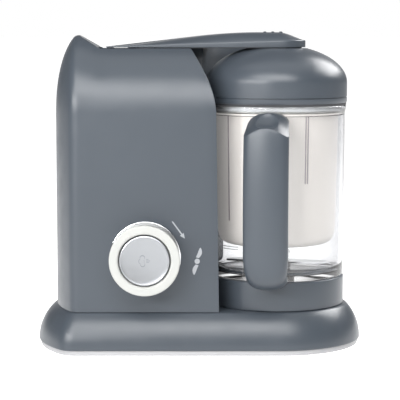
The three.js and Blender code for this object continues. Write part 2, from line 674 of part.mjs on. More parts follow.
place('lock_ring', lockRing(), GREY_DARK, jug);
place('bowl_base_ring', bowlBaseRing(), GREY, jug);
place('bowl_wall', bowlWall(), CLEAR, jug);
place('bowl_seal', bowlSeal(), SILICONE, jug);
place('bowl_handle', bowlHandle(), GREY, jug);
place('steam_basket', steamBasket(), CREAM, jug);
place('lid_dome', lidDome(), GREY, jug);
place('lid_liner', lidLiner(), WHITE, jug);
place('lid_seal', lidSeal(), SILICONE, jug);

// ---------------------------------------------------------------- arm

function armPlan(inset) {
  const half = ARM_HALF_WIDTH - inset;
  const shape = new THREE.Shape();
  shape.moveTo(ARM_LEFT + inset, -half);
  shape.lineTo(ARM_RIGHT - ARM_HALF_WIDTH, -half);
  shape.absarc(ARM_RIGHT - ARM_HALF_WIDTH, 0, half, -Math.PI / 2, Math.PI / 2, false);
  shape.lineTo(ARM_LEFT + inset, half);
  return shape;
}

// Side view of the arm: thin at the hinge, then rising to the tip, with three grip ribs.
function armSide(low, drop) {
  const ribs = [54, 60.5, 67];
  const crest = [[ARM_LEFT, 243.9], [-56, 245.4], [-41, 247], [-27, 248.9], [-12, 250.3],
    [-2, 251.7], [13, 253], [33, 254.2], [48, 254.9],
    ...ribs.flatMap((x) => [[x - 2.4, 255], [x - 1, 256.2], [x + 1, 256.2], [x + 2.4, 255]]),
    [73, 253.7], [80, 251.2], [85, 249.3], [ARM_RIGHT + 1, 247.2]];
  const line = drop ? crest.filter(([, z]) => z < 255) : crest;
  return outline([[ARM_LEFT, low], ...line.map(([x, z]) => [x, z - drop]),
    [ARM_RIGHT + 1, low]]);
}

function armCrown(low, inset) {
  const half = ARM_HALF_WIDTH + 1;
  return outline([[-half, low], [half, low], ...arcPoints(0, 247.5 - inset, half, 9, 0,
    Math.PI, 16)]);
}

function armBlank(inset, low) {
  return upright(armPlan(inset), low, 262, 14)
    .intersect(acrossY(armSide(low, inset), -30, 30))
    .intersect(acrossX(armCrown(low, inset), ARM_LEFT - 2, ARM_RIGHT + 2));
}

function armCover() {
  const wall = 2;
  const hollow = armBlank(wall, 240).intersect(block(LINER_LEFT, 100, -30, 30, 238, 270));
  const half = EAR.near - 0.4;
  const knuckle = rod(HINGE.x, HINGE.z, EAR.radius, -half, half)
    .add(block(HINGE.x - 1, HINGE.x + 4, -half, half, HINGE.z, ARM_UNDERSIDE + 0.5));
  return cut(join(armBlank(0, ARM_UNDERSIDE).subtract(hollow), knuckle),
    rod(HINGE.x, HINGE.z, PIN_RADIUS + GAP, -EAR.far, EAR.far, 12));
}

function armLiner() {
  const plate = upright(armPlan(2 + GAP), ARM_UNDERSIDE, 244.8, 14);
  const kept = block(LINER_LEFT + GAP, 100, -30, 30, 240, 250);
  return cut(plate.intersect(kept), post(JUG_X, 0, 3, 240, 250, 12));
}

function steamDuct() {
  const duct = block(-8, 68, -7, 7, 245 + GAP, 248.4);
  return cut(duct, block(-9, 69, -5.8, 5.8, 246.2, 247.5));
}

const arm = subgroup(0, 0, 0);
place('arm_cover', armCover(), GREY, arm);
place('arm_liner', armLiner(), GREY_DARK, arm);
place('steam_duct', steamDuct(), SILICONE, arm);
const boilerSeal = place('boiler_seal', turned([[0, 236], [14, 236], [15.2, 238], [15.2, 240],
  [14.4, ARM_UNDERSIDE - GAP], [0, ARM_UNDERSIDE - GAP]], 24), SILICONE, arm);
boilerSeal.position.x = BOILER_X;
const steamSeal = place('steam_seal', turned([[2.5, 240], [7.5, 240], [9, 241.5],
  [9, ARM_UNDERSIDE - GAP], [2.5, ARM_UNDERSIDE - GAP]], 20), SILICONE, arm);
steamSeal.position.x = JUG_X;

// ---------------------------------------------------------------- origin

// The origin is under the middle of the whole, on the surface that it stands on.
const extent = new THREE.Box3().setFromObject(maker);
const middle = extent.getCenter(new THREE.Vector3());
maker.position.set(-middle.x, -middle.y, -extent.min.z);

export default maker;
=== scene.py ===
"""Baby food maker: a steamer and blender with a grey housing, a clear jug and a domed lid."""
import json
import math

import bmesh
import bpy
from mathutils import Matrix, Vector

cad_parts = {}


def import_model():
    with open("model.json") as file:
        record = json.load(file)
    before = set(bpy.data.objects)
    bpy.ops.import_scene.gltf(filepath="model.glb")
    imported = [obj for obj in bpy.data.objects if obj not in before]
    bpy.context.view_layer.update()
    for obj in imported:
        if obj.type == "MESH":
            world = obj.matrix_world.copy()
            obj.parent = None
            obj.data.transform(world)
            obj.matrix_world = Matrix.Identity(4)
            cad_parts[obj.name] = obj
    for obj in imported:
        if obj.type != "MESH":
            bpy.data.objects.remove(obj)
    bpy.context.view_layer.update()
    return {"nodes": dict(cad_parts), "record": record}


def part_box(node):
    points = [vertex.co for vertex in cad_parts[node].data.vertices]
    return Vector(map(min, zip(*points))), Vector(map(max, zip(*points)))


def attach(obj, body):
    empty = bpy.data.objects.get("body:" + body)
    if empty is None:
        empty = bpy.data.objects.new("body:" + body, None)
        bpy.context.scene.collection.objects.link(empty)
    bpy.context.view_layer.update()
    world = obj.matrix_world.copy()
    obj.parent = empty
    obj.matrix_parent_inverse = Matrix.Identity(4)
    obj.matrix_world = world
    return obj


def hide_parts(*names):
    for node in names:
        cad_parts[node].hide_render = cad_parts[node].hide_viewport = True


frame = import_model()

# ---------------------------------------------------------------- sizes, in millimetres

MM = 0.001


def box_mm(node):
    """Lowest and highest corner of a CAD node, in millimetres."""
    low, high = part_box(node)
    return low / MM, high / MM


SHELL_LOW, SHELL_HIGH = box_mm("base_shell")
BODY_LOW, BODY_HIGH = box_mm("body_shell")
LID_LOW, LID_HIGH = box_mm("lid_dome")
WALL_LOW, WALL_HIGH = box_mm("bowl_wall")
RING_LOW, RING_HIGH = box_mm("bowl_base_ring")
BASKET_LOW, BASKET_HIGH = box_mm("steam_basket")
KNOB_LOW, KNOB_HIGH = box_mm("knob_ring")
BUTTON_LOW, BUTTON_HIGH = box_mm("steam_button")
BEZEL_LOW, BEZEL_HIGH = box_mm("knob_bezel")
COVER_LOW, COVER_HIGH = box_mm("arm_cover")
TANK_LOW, TANK_HIGH = box_mm("boiler_tank")
COLLAR_LOW, COLLAR_HIGH = box_mm("boiler_collar")
SHIELD_LOW, SHIELD_HIGH = box_mm("lid_shield")
PIN_LOW, PIN_HIGH = box_mm("hinge_pin")
INLET_LOW, INLET_HIGH = box_mm("cord_inlet")
FOOT_LOW, FOOT_HIGH = box_mm("foot_1")
SCREW_LOW, SCREW_HIGH = box_mm("base_screw_1")

GAP = 0.3  # joint lines between neighbouring pieces
WALL = 2.5  # moulded wall thickness
MID_Y = (SHELL_LOW.y + SHELL_HIGH.y) / 2  # middle plane; outlines are drawn about it
JUG_X = (LID_LOW.x + LID_HIGH.x) / 2
HALF_DEPTH = (SHELL_HIGH.y - SHELL_LOW.y) / 2
BODY_DEPTH = (BODY_HIGH.y - BODY_LOW.y) / 2
DECK = BODY_LOW.z - GAP
SKIRT_FOOT = SHELL_LOW.z
TURRET = 44.0  # radius of the stand under the jug
SPINDLE_BOSS, SPINDLE_HOLE = 11.5, 8.3  # radii in the middle of that stand
PLATE_TOP = 4.0
LEAN = 2.0  # how far the front leans back
SPRING_LINE = 190.0  # height where the housing starts to vault
FLAT_TOP = LID_HIGH.z  # height of the flat under the arm
CREASE_X = BODY_LOW.x + 16.3  # where the front meets the left side
PEAK_X = BODY_LOW.x + 19.5  # the horn's peak
HORN_FOOT_X = BODY_LOW.x + 37.6  # where the horn's flank meets the flat top
VAULT_RISE = 58.0  # from the spring line to the vault's own top
HORN_RISE = 63.4  # the same at the horn, which is fuller
RECESS = 74.0  # radius of the hollow that the jug stands in
SHIELD_R = 60.5  # inner radius of the shield behind the lid
SHIELD_THICK = 4.0
SHIELD_WEB_FAR = 20.0  # where the shield's web ends, behind the middle
KNOB_X = (KNOB_LOW.x + KNOB_HIGH.x) / 2
KNOB_Z = (KNOB_LOW.z + KNOB_HIGH.z) / 2
KNOB_R = (KNOB_HIGH.x - KNOB_LOW.x) / 2
KNOB_HOLE = 9.0  # radius of the knob's hole in the housing
SHAFT_HOLE = 3.3  # radius of the bore for the knob's shaft
BEZEL_BORE = 25.4
DISH = 1.3  # depth of the hollow in the button's face
BOILER_X = (TANK_LOW.x + TANK_HIGH.x) / 2
COLLAR_SEAT = 233.0  # the boiler's collar fills its hole from here
HINGE_X = (PIN_LOW.x + PIN_HIGH.x) / 2
HINGE_Z = (PIN_LOW.z + PIN_HIGH.z) / 2
PIN_HOLE = 1.8  # radius of the bore for the arm's pin
PIN_REACH = 16.0  # half the length of that bore
KNUCKLE_R = 3.2  # radius round the pin, on ears and arm
KNUCKLE_HALF = 10.0  # half the width of the arm's knuckle
EAR_NEAR, EAR_FAR = 10.4, 15.0  # from the middle plane
NOTCH_LEFT, NOTCH_RIGHT = 8.8, 8.0  # from the hinge
NOTCH_HALF, NOTCH_DROP = 23.0, 5.0
INLET_X = (INLET_LOW.x + INLET_HIGH.x) / 2
INLET_Z = (INLET_LOW.z + INLET_HIGH.z) / 2
INLET_HOLE = 6.3
LID_R = (LID_HIGH.x - LID_LOW.x) / 2
RIM_R = (WALL_HIGH.x - WALL_LOW.x) / 2
RIM_BORE = 54.9  # radius inside the jug's rim
JUG_WALL_R = RIM_R - 1.0  # outside of the wall, just below the rim
TAPER_LOW, TAPER_HIGH = 62.0, 190.0  # heights between which the wall widens
JUG_FLOOR = 60.6
FLOOR_HOLE = 10.6  # radius of the hole for the blades
RING_R = (RING_HIGH.x - RING_LOW.x) / 2
HANDLE_TURN = math.radians(-8)  # the handle points a little to the left
HANDLE_HALF = 17.7  # half its width
ABOVE = 260.0  # a height clear of the whole object
BESIDE = 200.0  # a distance clear of it on every side

# ---------------------------------------------------------------- mesh helpers


def solid(name, points, faces):
    """A closed mesh object from points in millimetres, drawn about the middle plane."""
    mesh = bpy.data.meshes.new(name)
    mesh.from_pydata([Vector((x, y + MID_Y, z)) * MM for x, y, z in points], [], faces)
    work = bmesh.new()
    work.from_mesh(mesh)
    bmesh.ops.remove_doubles(work, verts=work.verts, dist=1e-7)
    bmesh.ops.dissolve_degenerate(work, edges=work.edges, dist=1e-7)
    bmesh.ops.recalc_face_normals(work, faces=work.faces)
    work.to_mesh(mesh)
    work.free()
    item = bpy.data.objects.new(name, mesh)
    bpy.context.scene.collection.objects.link(item)
    return item


def mesh_piece(name, points, faces, body, slot, material, sharp=30, replaces=()):
    """A finished piece from points in millimetres, drawn about the middle plane."""
    finish_piece(solid(name, points, faces), body, material, sharp, replaces)


def finish_piece(piece, body, material, sharp=30, replaces=()):
    """Smooths a piece's shading and gives it its material and body."""
    piece.data.materials.clear()
    piece.data.materials.append(material)
    smooth(piece.data, sharp)
    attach(piece, body)
    if replaces:
        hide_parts(*replaces)


def smooth(mesh, sharp):
    mesh.shade_smooth()
    mesh.set_sharp_from_angle(angle=math.radians(sharp))


def strip_faces(rows, count):
    """Quads between successive rows of points, each row closed into a ring."""
    faces = []
    for row in range(rows - 1):
        for i in range(count):
            a = row * count + i
            b = row * count + (i + 1) % count
            faces.append((a, b, b + count, a + count))
    return faces


def loft(rings):
    """Points and faces of a closed skin over rings of equal length, with flat end caps."""
    count = len(rings[0])
    points = [p for ring in rings for p in ring]
    faces = strip_faces(len(rings), count)
    faces.append(tuple(reversed(range(count))))
    faces.append(tuple(range(len(points) - count, len(points))))
    return points, faces


def revolve(profile, axis, steps=128, along="z"):
    """A turned solid from a closed [radius, height] outline, about an upright axis at
    (x, y), or about an axis along Y at (x, z)."""
    points = []
    for radius, height in profile:
        for i in range(steps):
            angle = 2 * math.pi * i / steps
            u, v = radius * math.cos(angle), radius * math.sin(angle)
            if along == "z":
                points.append((axis[0] + u, axis[1] + v, height))
            else:
                points.append((axis[0] + u, height, axis[1] + v))
    faces = strip_faces(len(profile), steps)
    last = (len(profile) - 1) * steps
    if profile[0][0] > 0 or profile[-1][0] > 0:
        for i in range(steps):
            j = (i + 1) % steps
            faces.append((last + i, last + j, j, i))
    return points, faces


def spaced(start, end, count):
    return [start + (end - start) * k / count for k in range(count + 1)]


def round_corner(start, corner, end, steps=6):
    """A curve from start to end, drawn towards the corner."""
    start, corner, end = Vector(start), Vector(corner), Vector(end)
    turns = [k / steps for k in range(1, steps)]
    curve = [start * (1 - t) ** 2 + corner * 2 * t * (1 - t) + end * t * t for t in turns]
    return [tuple(start), *[tuple(p) for p in curve], tuple(end)]


def filleted(corners, steps=4):
    """An outline whose corners (x, y, radius) are rounded off."""
    points = []
    count = len(corners)
    for i, (x, y, radius) in enumerate(corners):
        here = Vector((x, y))
        if radius == 0:
            points.append(tuple(here))
            continue
        back = Vector(corners[i - 1][:2]) - here
        ahead = Vector(corners[(i + 1) % count][:2]) - here
        start = here + back.normalized() * min(radius, back.length / 2)
        end = here + ahead.normalized() * min(radius, ahead.length / 2)
        points += round_corner(start, here, end, steps)
    return points


def bezier(a, b, c, d, steps):
    """Points of a cubic curve, without its first one."""
    a, b, c, d = Vector(a), Vector(b), Vector(c), Vector(d)
    curve = []
    for k in range(1, steps + 1):
        t = k / steps
        s = 1 - t
        curve.append(a * s ** 3 + b * 3 * s * s * t + c * 3 * s * t * t + d * t ** 3)
    return curve


def arc(cx, cy, radius, start, end, steps):
    return [(cx + radius * math.cos(t), cy + radius * math.sin(t))
            for t in spaced(start, end, steps)]


def circle(cx, cy, radius, steps):
    return arc(cx, cy, radius, 0, 2 * math.pi, steps)[:-1]


def solid_tool(points, faces):
    """A loose solid for cutting, which carve() uses up."""
    return solid("tool", points, faces)


def apply_modifiers(piece):
    bpy.context.view_layer.update()
    graph = bpy.context.evaluated_depsgraph_get()
    mesh = bpy.data.meshes.new_from_object(piece.evaluated_get(graph))
    old = piece.data
    piece.modifiers.clear()
    piece.data = mesh
    bpy.data.meshes.remove(old)


def carve(piece, tool, operation="DIFFERENCE"):
    """Cuts the tool out of the piece, or joins it on, and removes the tool."""
    cut = piece.modifiers.new("cut", "BOOLEAN")
    cut.operation = operation
    cut.solver = "EXACT"
    cut.object = tool
    apply_modifiers(piece)
    bpy.data.objects.remove(tool)


def block_tool(x0, x1, y0, y1, z0, z1):
    ring = [(x0, y0), (x1, y0), (x1, y1), (x0, y1)]
    return solid_tool(*loft([[(x, y, z) for x, y in ring] for z in (z0, z1)]))


def drum_tool(x, y, radius, low, high, steps=64):
    ring = circle(x, y, radius, steps)
    return solid_tool(*loft([[(u, v, z) for u, v in ring] for z in (low, high)]))


def rod_tool(x, z, radius, near, far):
    ring = circle(x, z, radius, 48)
    return solid_tool(*loft([[(u, y, w) for u, w in ring] for y in (near, far)]))


# ---------------------------------------------------------------- materials


def srgb(red, green, blue):
    """A linear colour from 0 to 255 screen values."""
    channels = []
    for value in (red, green, blue):
        share = value / 255
        channels.append(share / 12.92 if share <= 0.04045 else ((share + 0.055) / 1.055) ** 2.4)
    return (*channels, 1.0)


def range_node(nodes, low, high, start, end):
    """A node that carries the range from low to high over to the one from start to end."""
    node = nodes.new("ShaderNodeMapRange")
    for index, value in enumerate((low, high, start, end), 1):
        node.inputs[index].default_value = value
    return node


class Shader:
    """A Principled material with its node tree at hand."""

    def __init__(self, name):
        self.material = bpy.data.materials.new(name)
        self.material.use_nodes = True
        self.nodes = self.material.node_tree.nodes
        self.links = self.material.node_tree.links
        self.bsdf = self.nodes["Principled BSDF"]
        self.place = self.nodes.new("ShaderNodeTexCoord").outputs["Object"]

    def set(self, **values):
        for key, value in values.items():
            self.bsdf.inputs[key.replace("_", " ").title().replace("Ior", "IOR")].default_value = value
        return self

    def noise(self, scale, detail=2.0, stretch=None):
        texture = self.nodes.new("ShaderNodeTexNoise")
        texture.inputs["Scale"].default_value = scale
        texture.inputs["Detail"].default_value = detail
        source = self.place
        if stretch:
            mapping = self.nodes.new("ShaderNodeMapping")
            mapping.inputs["Scale"].default_value = stretch
            self.links.new(self.place, mapping.inputs["Vector"])
            source = mapping.outputs["Vector"]
        self.links.new(source, texture.inputs["Vector"])
        return texture.outputs["Fac"]

    def ranged(self, value, low, high):
        """Spreads the middle of a noise, 0.3 to 0.7, over a range."""
        node = range_node(self.nodes, 0.3, 0.7, low, high)
        self.links.new(value, node.inputs["Value"])
        return node.outputs["Result"]

    def tint(self, value, first, second):
        """Mottles the base colour between two shades."""
        node = self.nodes.new("ShaderNodeMix")
        node.data_type = "RGBA"
        factor, colour_a, colour_b = (node.inputs[index] for index in (0, 6, 7))
        colour_a.default_value = first
        colour_b.default_value = second
        self.links.new(value, factor)
        self.links.new(node.outputs[2], self.bsdf.inputs["Base Color"])

    def rough(self, value, low, high):
        """Makes the roughness follow a texture."""
        self.links.new(self.ranged(value, low, high), self.bsdf.inputs["Roughness"])

    def bump(self, value, depth, strength=1.0):
        """Makes a texture stand out by a depth in millimetres."""
        node = self.nodes.new("ShaderNodeBump")
        node.inputs["Distance"].default_value = depth * MM
        node.inputs["Strength"].default_value = strength
        self.links.new(value, node.inputs["Height"])
        self.links.new(node.outputs["Normal"], self.bsdf.inputs["Normal"])

    def let_light_through(self):
        """Light that falls through the piece isn't held back, so what is inside stays bright."""
        clear = self.nodes.new("ShaderNodeBsdfTransparent")
        mix = self.nodes.new("ShaderNodeMixShader")
        ray = self.nodes.new("ShaderNodeLightPath")
        output = self.nodes["Material Output"]
        self.links.new(ray.outputs["Is Shadow Ray"], mix.inputs[0])
        self.links.new(self.bsdf.outputs[0], mix.inputs[1])
        self.links.new(clear.outputs[0], mix.inputs[2])
        self.links.new(mix.outputs[0], output.inputs["Surface"])


def shaded(colour, factor):
    """A lighter or darker shade of a colour."""
    return (*[min(1.0, c * factor) for c in colour[:3]], 1.0)


def plastic(name, colour, roughness, grain=0.012, mottle=0.03, **extra):
    """Moulded plastic: faint cloudiness, uneven gloss and a fine spark-eroded grain."""
    shader = Shader(name).set(**extra)
    cloud = shader.noise(28.0, 3.0)
    shader.tint(cloud, shaded(colour, 1 - mottle), shaded(colour, 1 + mottle))
    shader.rough(shader.noise(75.0, 4.0), roughness - 0.03, roughness + 0.04)
    shader.bump(shader.noise(2600.0, 2.0), grain)
    return shader.material


def metal(name, colour, roughness):
    """Bare metal with fine upright tool marks."""
    shader = Shader(name).set(metallic=1.0)
    marks = shader.noise(700.0, 3.0, (1.0, 1.0, 0.05))
    shader.tint(marks, shaded(colour, 0.92), shaded(colour, 1.06))
    shader.rough(marks, roughness * 0.7, roughness * 1.3)
    shader.bump(marks, 0.008)
    return shader.material


def rubber(name, colour, roughness=0.75):
    """Dull, slightly rough rubber or silicone."""
    shader = Shader(name)
    shader.tint(shader.noise(90.0, 4.0), shaded(colour, 0.85), shaded(colour, 1.15))
    shader.rough(shader.noise(400.0, 3.0), roughness - 0.06, roughness + 0.08)
    shader.bump(shader.noise(1500.0, 4.0), 0.03)
    return shader.material


def clear_plastic(name):
    """Clear copolyester: smooth and faintly wavy. Where the wall is seen edge on its colour turns near
    black, a painted shade that stands in for the dark lines refraction gives there.
    """
    shader = Shader(name).set(transmission_weight=1.0, ior=1.46)
    edge = shader.nodes.new("ShaderNodeLayerWeight")
    edge.inputs["Blend"].default_value = 0.3
    # Painted shade: the colour goes near black as the wall turns edge on.
    shader.tint(edge.outputs["Facing"], (0.96, 0.965, 0.97, 1.0), (0.02, 0.02, 0.05, 1.0))
    shader.rough(shader.noise(30.0, 2.0), 0.0, 0.03)
    shader.bump(shader.noise(22.0, 1.0), 0.05, 0.4)
    shader.let_light_through()
    return shader.material


SLATE = srgb(60, 66, 73)
GREY = plastic("slate_plastic", SLATE, 0.33)
STRIP = plastic("base_strip_plastic", srgb(160, 160, 162), 0.42)
KNOB_WHITE = plastic("knob_plastic", srgb(165, 166, 163), 0.45, grain=0.02, mottle=0.02)
BUTTON_SILVER = plastic("button_lacquer", srgb(152, 154, 157), 0.34, metallic=0.8)
CHROME = metal("bezel_chrome", srgb(225, 226, 228), 0.12)
CLEAR = clear_plastic("jug_clear")
# The basket's plastic glows faintly (emission 0.25): a painted glow that stands in for light passing
# through the translucent plastic.
GLOWING_CREAM = plastic("basket_plastic_painted_glow", srgb(184, 179, 174), 0.4, grain=0.004,
                emission_color=(1.0, 0.97, 0.94, 1.0), emission_strength=0.25)
DARK = plastic("dark_plastic", srgb(70, 73, 79), 0.5)
INK = plastic("icon_ink", srgb(118, 121, 125), 0.5, grain=0.004)
# A darker copy of the basket's cream: painted shade, so that each rib shows as a dark line.
RIB_PAINTED_SHADE = plastic("basket_rib", srgb(150, 142, 146), 0.4)
PRINT = plastic("white_print", srgb(150, 153, 157), 0.5, grain=0.004)
TICKS = plastic("graduation_print", srgb(150, 152, 156), 0.5, grain=0.004)
STEEL = metal("polished_steel", srgb(205, 206, 208), 0.14)
PLAIN_STEEL = metal("plain_steel", srgb(190, 191, 194), 0.3)
BRONZE = metal("bush_bronze", srgb(176, 138, 88), 0.4)
RUBBER = rubber("black_rubber", srgb(52, 53, 56))
SILICONE = rubber("seal_silicone", srgb(186, 188, 190), 0.5)
BOARD = plastic("circuit_board", srgb(46, 104, 68), 0.45, grain=0.03)

# ---------------------------------------------------------------- base


def base_outline(spread, inset=0.0, corner=7.0):
    """Plan of the base at a level between the deck, 0, and the foot, 1."""
    depth = BODY_DEPTH + (HALF_DEPTH - BODY_DEPTH) * spread - inset
    left = BODY_LOW.x + (SHELL_LOW.x - BODY_LOW.x) * spread + inset
    meet = CREASE_X - 6 * spread + inset * 0.6
    sagitta = meet - left
    radius = (depth * depth + sagitta * sagitta) / (2 * sagitta)
    half = math.asin(depth / radius)
    trim = corner / radius
    right = arc(JUG_X, 0, depth, -math.pi / 2, math.pi / 2, 64)
    bulge = arc(left + radius, 0, radius, math.pi - half + trim,
                math.pi + half - trim, 40)
    back = round_corner((meet + corner, depth), (meet, depth), bulge[0])
    front = round_corner(bulge[-1], (meet, -depth), (meet + corner, -depth))
    return right + back[:-1] + bulge + front[1:]


def skirt_levels(steps=24):
    """Spread and height down the flared skirt, as a smooth curve."""
    drop = DECK - SKIRT_FOOT
    return [(math.sin(t * math.pi / 2) ** 0.92, DECK - drop * t ** 1.25)
            for t in spaced(0, 1, steps)]


def base_skirt():
    """The hollow flared base, with the stand that the jug turns on."""
    turret_top = SHELL_HIGH.z
    outer = [[(x, y, z) for x, y in base_outline(s)] for s, z in reversed(skirt_levels())]
    hollow = [[(x, y, z - WALL) for x, y in base_outline(s, WALL)]
              for s, z in reversed(skirt_levels(8))]
    skirt = solid("base_skirt", *loft(outer))
    carve(skirt, solid_tool(*loft(hollow)))
    carve(skirt, drum_tool(JUG_X, 0, TURRET, DECK - 1.0, turret_top, 96), "UNION")
    carve(skirt, drum_tool(JUG_X, 0, TURRET - WALL, 20.0, turret_top - WALL, 96))
    carve(skirt, drum_tool(JUG_X, 0, SPINDLE_BOSS, 26.0, turret_top - 1.0), "UNION")
    carve(skirt, drum_tool(JUG_X, 0, SPINDLE_HOLE, 20.0, 50.0))
    bevel(skirt, 0.5, 2, 60)
    finish_piece(skirt, "base", GREY, 35, ["base_shell"])


def base_strip():
    """The light plate that closes the base, with a softened lower edge."""
    levels = [(2.6, 0.0), (1.9, 0.25), (1.6, 0.9), (1.6, PLATE_TOP)]
    rings = [[(x, y, z) for x, y in base_outline(1, inset)] for inset, z in levels]
    plate = solid("base_strip", *loft(rings))
    foot_r = (FOOT_HIGH.x - FOOT_LOW.x) / 2 + GAP
    head_r = (SCREW_HIGH.x - SCREW_LOW.x) / 2 + GAP
    for index in range(1, 5):
        for node, radius, depth in ((f"foot_{index}", foot_r, 2.2),
                                    (f"base_screw_{index}", head_r, 2.0)):
            low, high = box_mm(node)
            middle = (low + high) / 2
            carve(plate, drum_tool(middle.x, middle.y - MID_Y, radius, -1.0, depth))
    finish_piece(plate, "base", STRIP, 35, ["base_plate"])


def bevel(piece, width, segments, angle=40):
    edge = piece.modifiers.new("edge", "BEVEL")
    edge.width = width * MM
    edge.segments = segments
    edge.limit_method = "ANGLE"
    edge.angle_limit = math.radians(angle)
    edge.use_clamp_overlap = True
    apply_modifiers(piece)


# ---------------------------------------------------------------- housing


def silhouette():
    """The left side seen from the front, from the spring line up to the horn's peak."""
    left = BODY_LOW.x
    shoulder = bezier((left, SPRING_LINE), (left, 218), (left + 5.5, 236),
                      (left + 11, 245.5), 60)
    tip = bezier(shoulder[-1], (left + 13.6, 250.4), (left + 16.2, BODY_HIGH.z),
                 (PEAK_X, BODY_HIGH.z), 30)
    return [Vector((left, SPRING_LINE)), *shoulder, *tip]


SILHOUETTE = silhouette()


def left_edge(z):
    """Where the left side's silhouette is at a height."""
    if z <= SPRING_LINE:
        return BODY_LOW.x
    for before, after in zip(SILHOUETTE, SILHOUETTE[1:]):
        if z <= after.y:
            share = (z - before.y) / (after.y - before.y)
            return before.x + (after.x - before.x) * share
    return PEAK_X


def half_depth(x, z, inset=0.0):
    """Half the housing's depth at a station along X and a height."""
    if z <= SPRING_LINE:
        return BODY_DEPTH - LEAN * (z - DECK) / (SPRING_LINE - DECK) - inset
    horn = 1 - min(1.0, max(0.0, (x - PEAK_X - 3.0) / 17.0))
    rise = VAULT_RISE + (HORN_RISE - VAULT_RISE) * horn - inset
    share = min(1.0, (z - SPRING_LINE) / rise)
    return (BODY_DEPTH - LEAN - inset) * math.sqrt(1 - share * share)


def recess_x(y, inset=0.0):
    return JUG_X - math.sqrt((RECESS + inset) ** 2 - y * y)


def slope_x(z):
    """The horn's flank, which falls to the right towards the hinge."""
    share = (z - FLAT_TOP) / (BODY_HIGH.z - FLAT_TOP)
    return HORN_FOOT_X + (PEAK_X - HORN_FOOT_X) * share


def left_side(z, corner, depth, inset):
    """The bulging left side from back to front, with its two softened corners."""
    sagitta = max(0.0, corner - inset - left_edge(z))
    soft = min(5.0, depth * 0.4)
    reach = [y for y in spaced(depth - soft, soft - depth, 30)]
    bulge = [(corner - sagitta * (1 - (y / depth) ** 2), y) for y in reach]
    back = round_corner((corner + soft, depth), (corner, depth), bulge[0])
    front = round_corner(bulge[-1], (corner, -depth), (corner + soft, -depth))
    return back[:-1] + bulge + front[1:]


def housing_ring(z, horn=False, inset=0.0):
    """One level of the housing. Below the flat top its right side is the jug's recess, and
    on the horn it is the sloping flank."""
    corner = max(CREASE_X, left_edge(z)) + inset
    split = slope_x(z) if horn else HORN_FOOT_X
    soft = min(5.0, half_depth(corner, z, inset) * 0.4, (split - corner) * 0.8)
    left = left_side(z, corner, half_depth(corner, z, inset), inset)
    if soft < 5.0:
        left = [(min(x, split), y) for x, y in left]
    front = [(x, -half_depth(x, z, inset)) for x in spaced(corner + soft, split, 8)[1:-1]]
    side = horn_side(z, split) if horn else recess_side(z, split, inset)
    back = [(x, -y) for x, y in reversed(front)]
    return [(x, y, z) for x, y in front + side + back + left]


def recess_side(z, split, inset):
    """From the horn's foot along the front to the recess, round it, and back again."""
    half = half_depth(JUG_X, z, inset)
    soft = 1.3
    right = recess_x(half, inset)
    front = [(x, -half) for x in spaced(split, right - soft, 12)]
    turn = round_corner(front[-1], (right, -half), (recess_x(half - soft, inset), soft - half), 4)
    hollow = [(recess_x(y, inset), y) for y in spaced(soft - half, half - soft, 28)]
    mirror = [(x, -y) for x, y in reversed(front + turn[1:-1])]
    return front + turn[1:-1] + hollow + mirror


def horn_side(z, split):
    """The flank from front to back, with softened edges."""
    half = half_depth(split, z)
    soft = min(1.2, half * 0.4)
    count = len(recess_side(SPRING_LINE, HORN_FOOT_X, 0.0)) - 1
    side = []
    for y in spaced(-half, half, count):
        over = min(1.0, max(0.0, (abs(y) - half + soft) / soft))
        side.append((split - soft * (1 - math.sqrt(1 - over * over)), y))
    return side


def housing_levels(top, steps):
    walls = spaced(BODY_LOW.z, SPRING_LINE, 8)
    vault = [SPRING_LINE + (top - SPRING_LINE) * math.sin(t * math.pi / 2)
             for t in spaced(0, 1, steps)[1:]]
    return walls + vault


def housing_outside():
    rings = [housing_ring(z) for z in housing_levels(FLAT_TOP, 30)]
    tip = BODY_HIGH.z - 0.15
    rings += [housing_ring(z, True) for z in spaced(FLAT_TOP, tip, 20)]
    return solid("housing", *loft(rings))


def housing_inside():
    top = FLAT_TOP - WALL - 0.5
    levels = [BODY_LOW.z - 5, *housing_levels(top, 14)[1:]]
    hollow = solid_tool(*loft([housing_ring(z, False, WALL) for z in levels]))
    carve(hollow, notch_tool(WALL))
    return hollow


def notch_tool(grow):
    """Pocket in the top that the arm's hinge sits in."""
    half = NOTCH_HALF + grow
    return block_tool(HINGE_X - NOTCH_LEFT - grow, HINGE_X + NOTCH_RIGHT + grow, -half, half,
                      HINGE_Z - NOTCH_DROP - grow, ABOVE)


def lid_shield():
    """Curved shield behind the lid, on a web that stands in the recess."""
    low, top = SHIELD_LOW.z, FLAT_TOP - 0.1
    near, right = SHIELD_LOW.y - MID_Y, SHIELD_HIGH.x
    shield = drum_tool(JUG_X, 0, SHIELD_R + SHIELD_THICK, low, top, 200)
    shield.name = "lid_shield_smooth"
    web = drum_tool(JUG_X, 0, RECESS - GAP, low, top, 200)
    under, over = low - 1, top + 1
    carve(shield, block_tool(right, BESIDE, -BESIDE, BESIDE, under, over))
    carve(shield, block_tool(-BESIDE, BESIDE, -BESIDE, near, under, over))
    carve(web, block_tool(JUG_X - SHIELD_R, BESIDE, -BESIDE, BESIDE, under, over))
    carve(web, block_tool(-BESIDE, BESIDE, -BESIDE, near, under, over))
    carve(web, block_tool(-BESIDE, BESIDE, SHIELD_WEB_FAR, BESIDE, under, over))
    carve(shield, web, "UNION")
    carve(shield, drum_tool(JUG_X, 0, SHIELD_R, under, over, 200))
    bevel(shield, 0.5, 2, 50)
    finish_piece(shield, "base", GREY, 32, ["lid_shield"])


def hinge_ear(near, far):
    """An ear that holds one end of the arm's pin."""
    ear = rod_tool(HINGE_X, HINGE_Z, KNUCKLE_R, near, far)
    carve(ear, block_tool(HINGE_X - 3, HINGE_X + 3, near, far, HINGE_Z - 6, HINGE_Z), "UNION")
    return ear


def pin_tool():
    return rod_tool(HINGE_X, HINGE_Z, PIN_HOLE, -PIN_REACH, PIN_REACH)


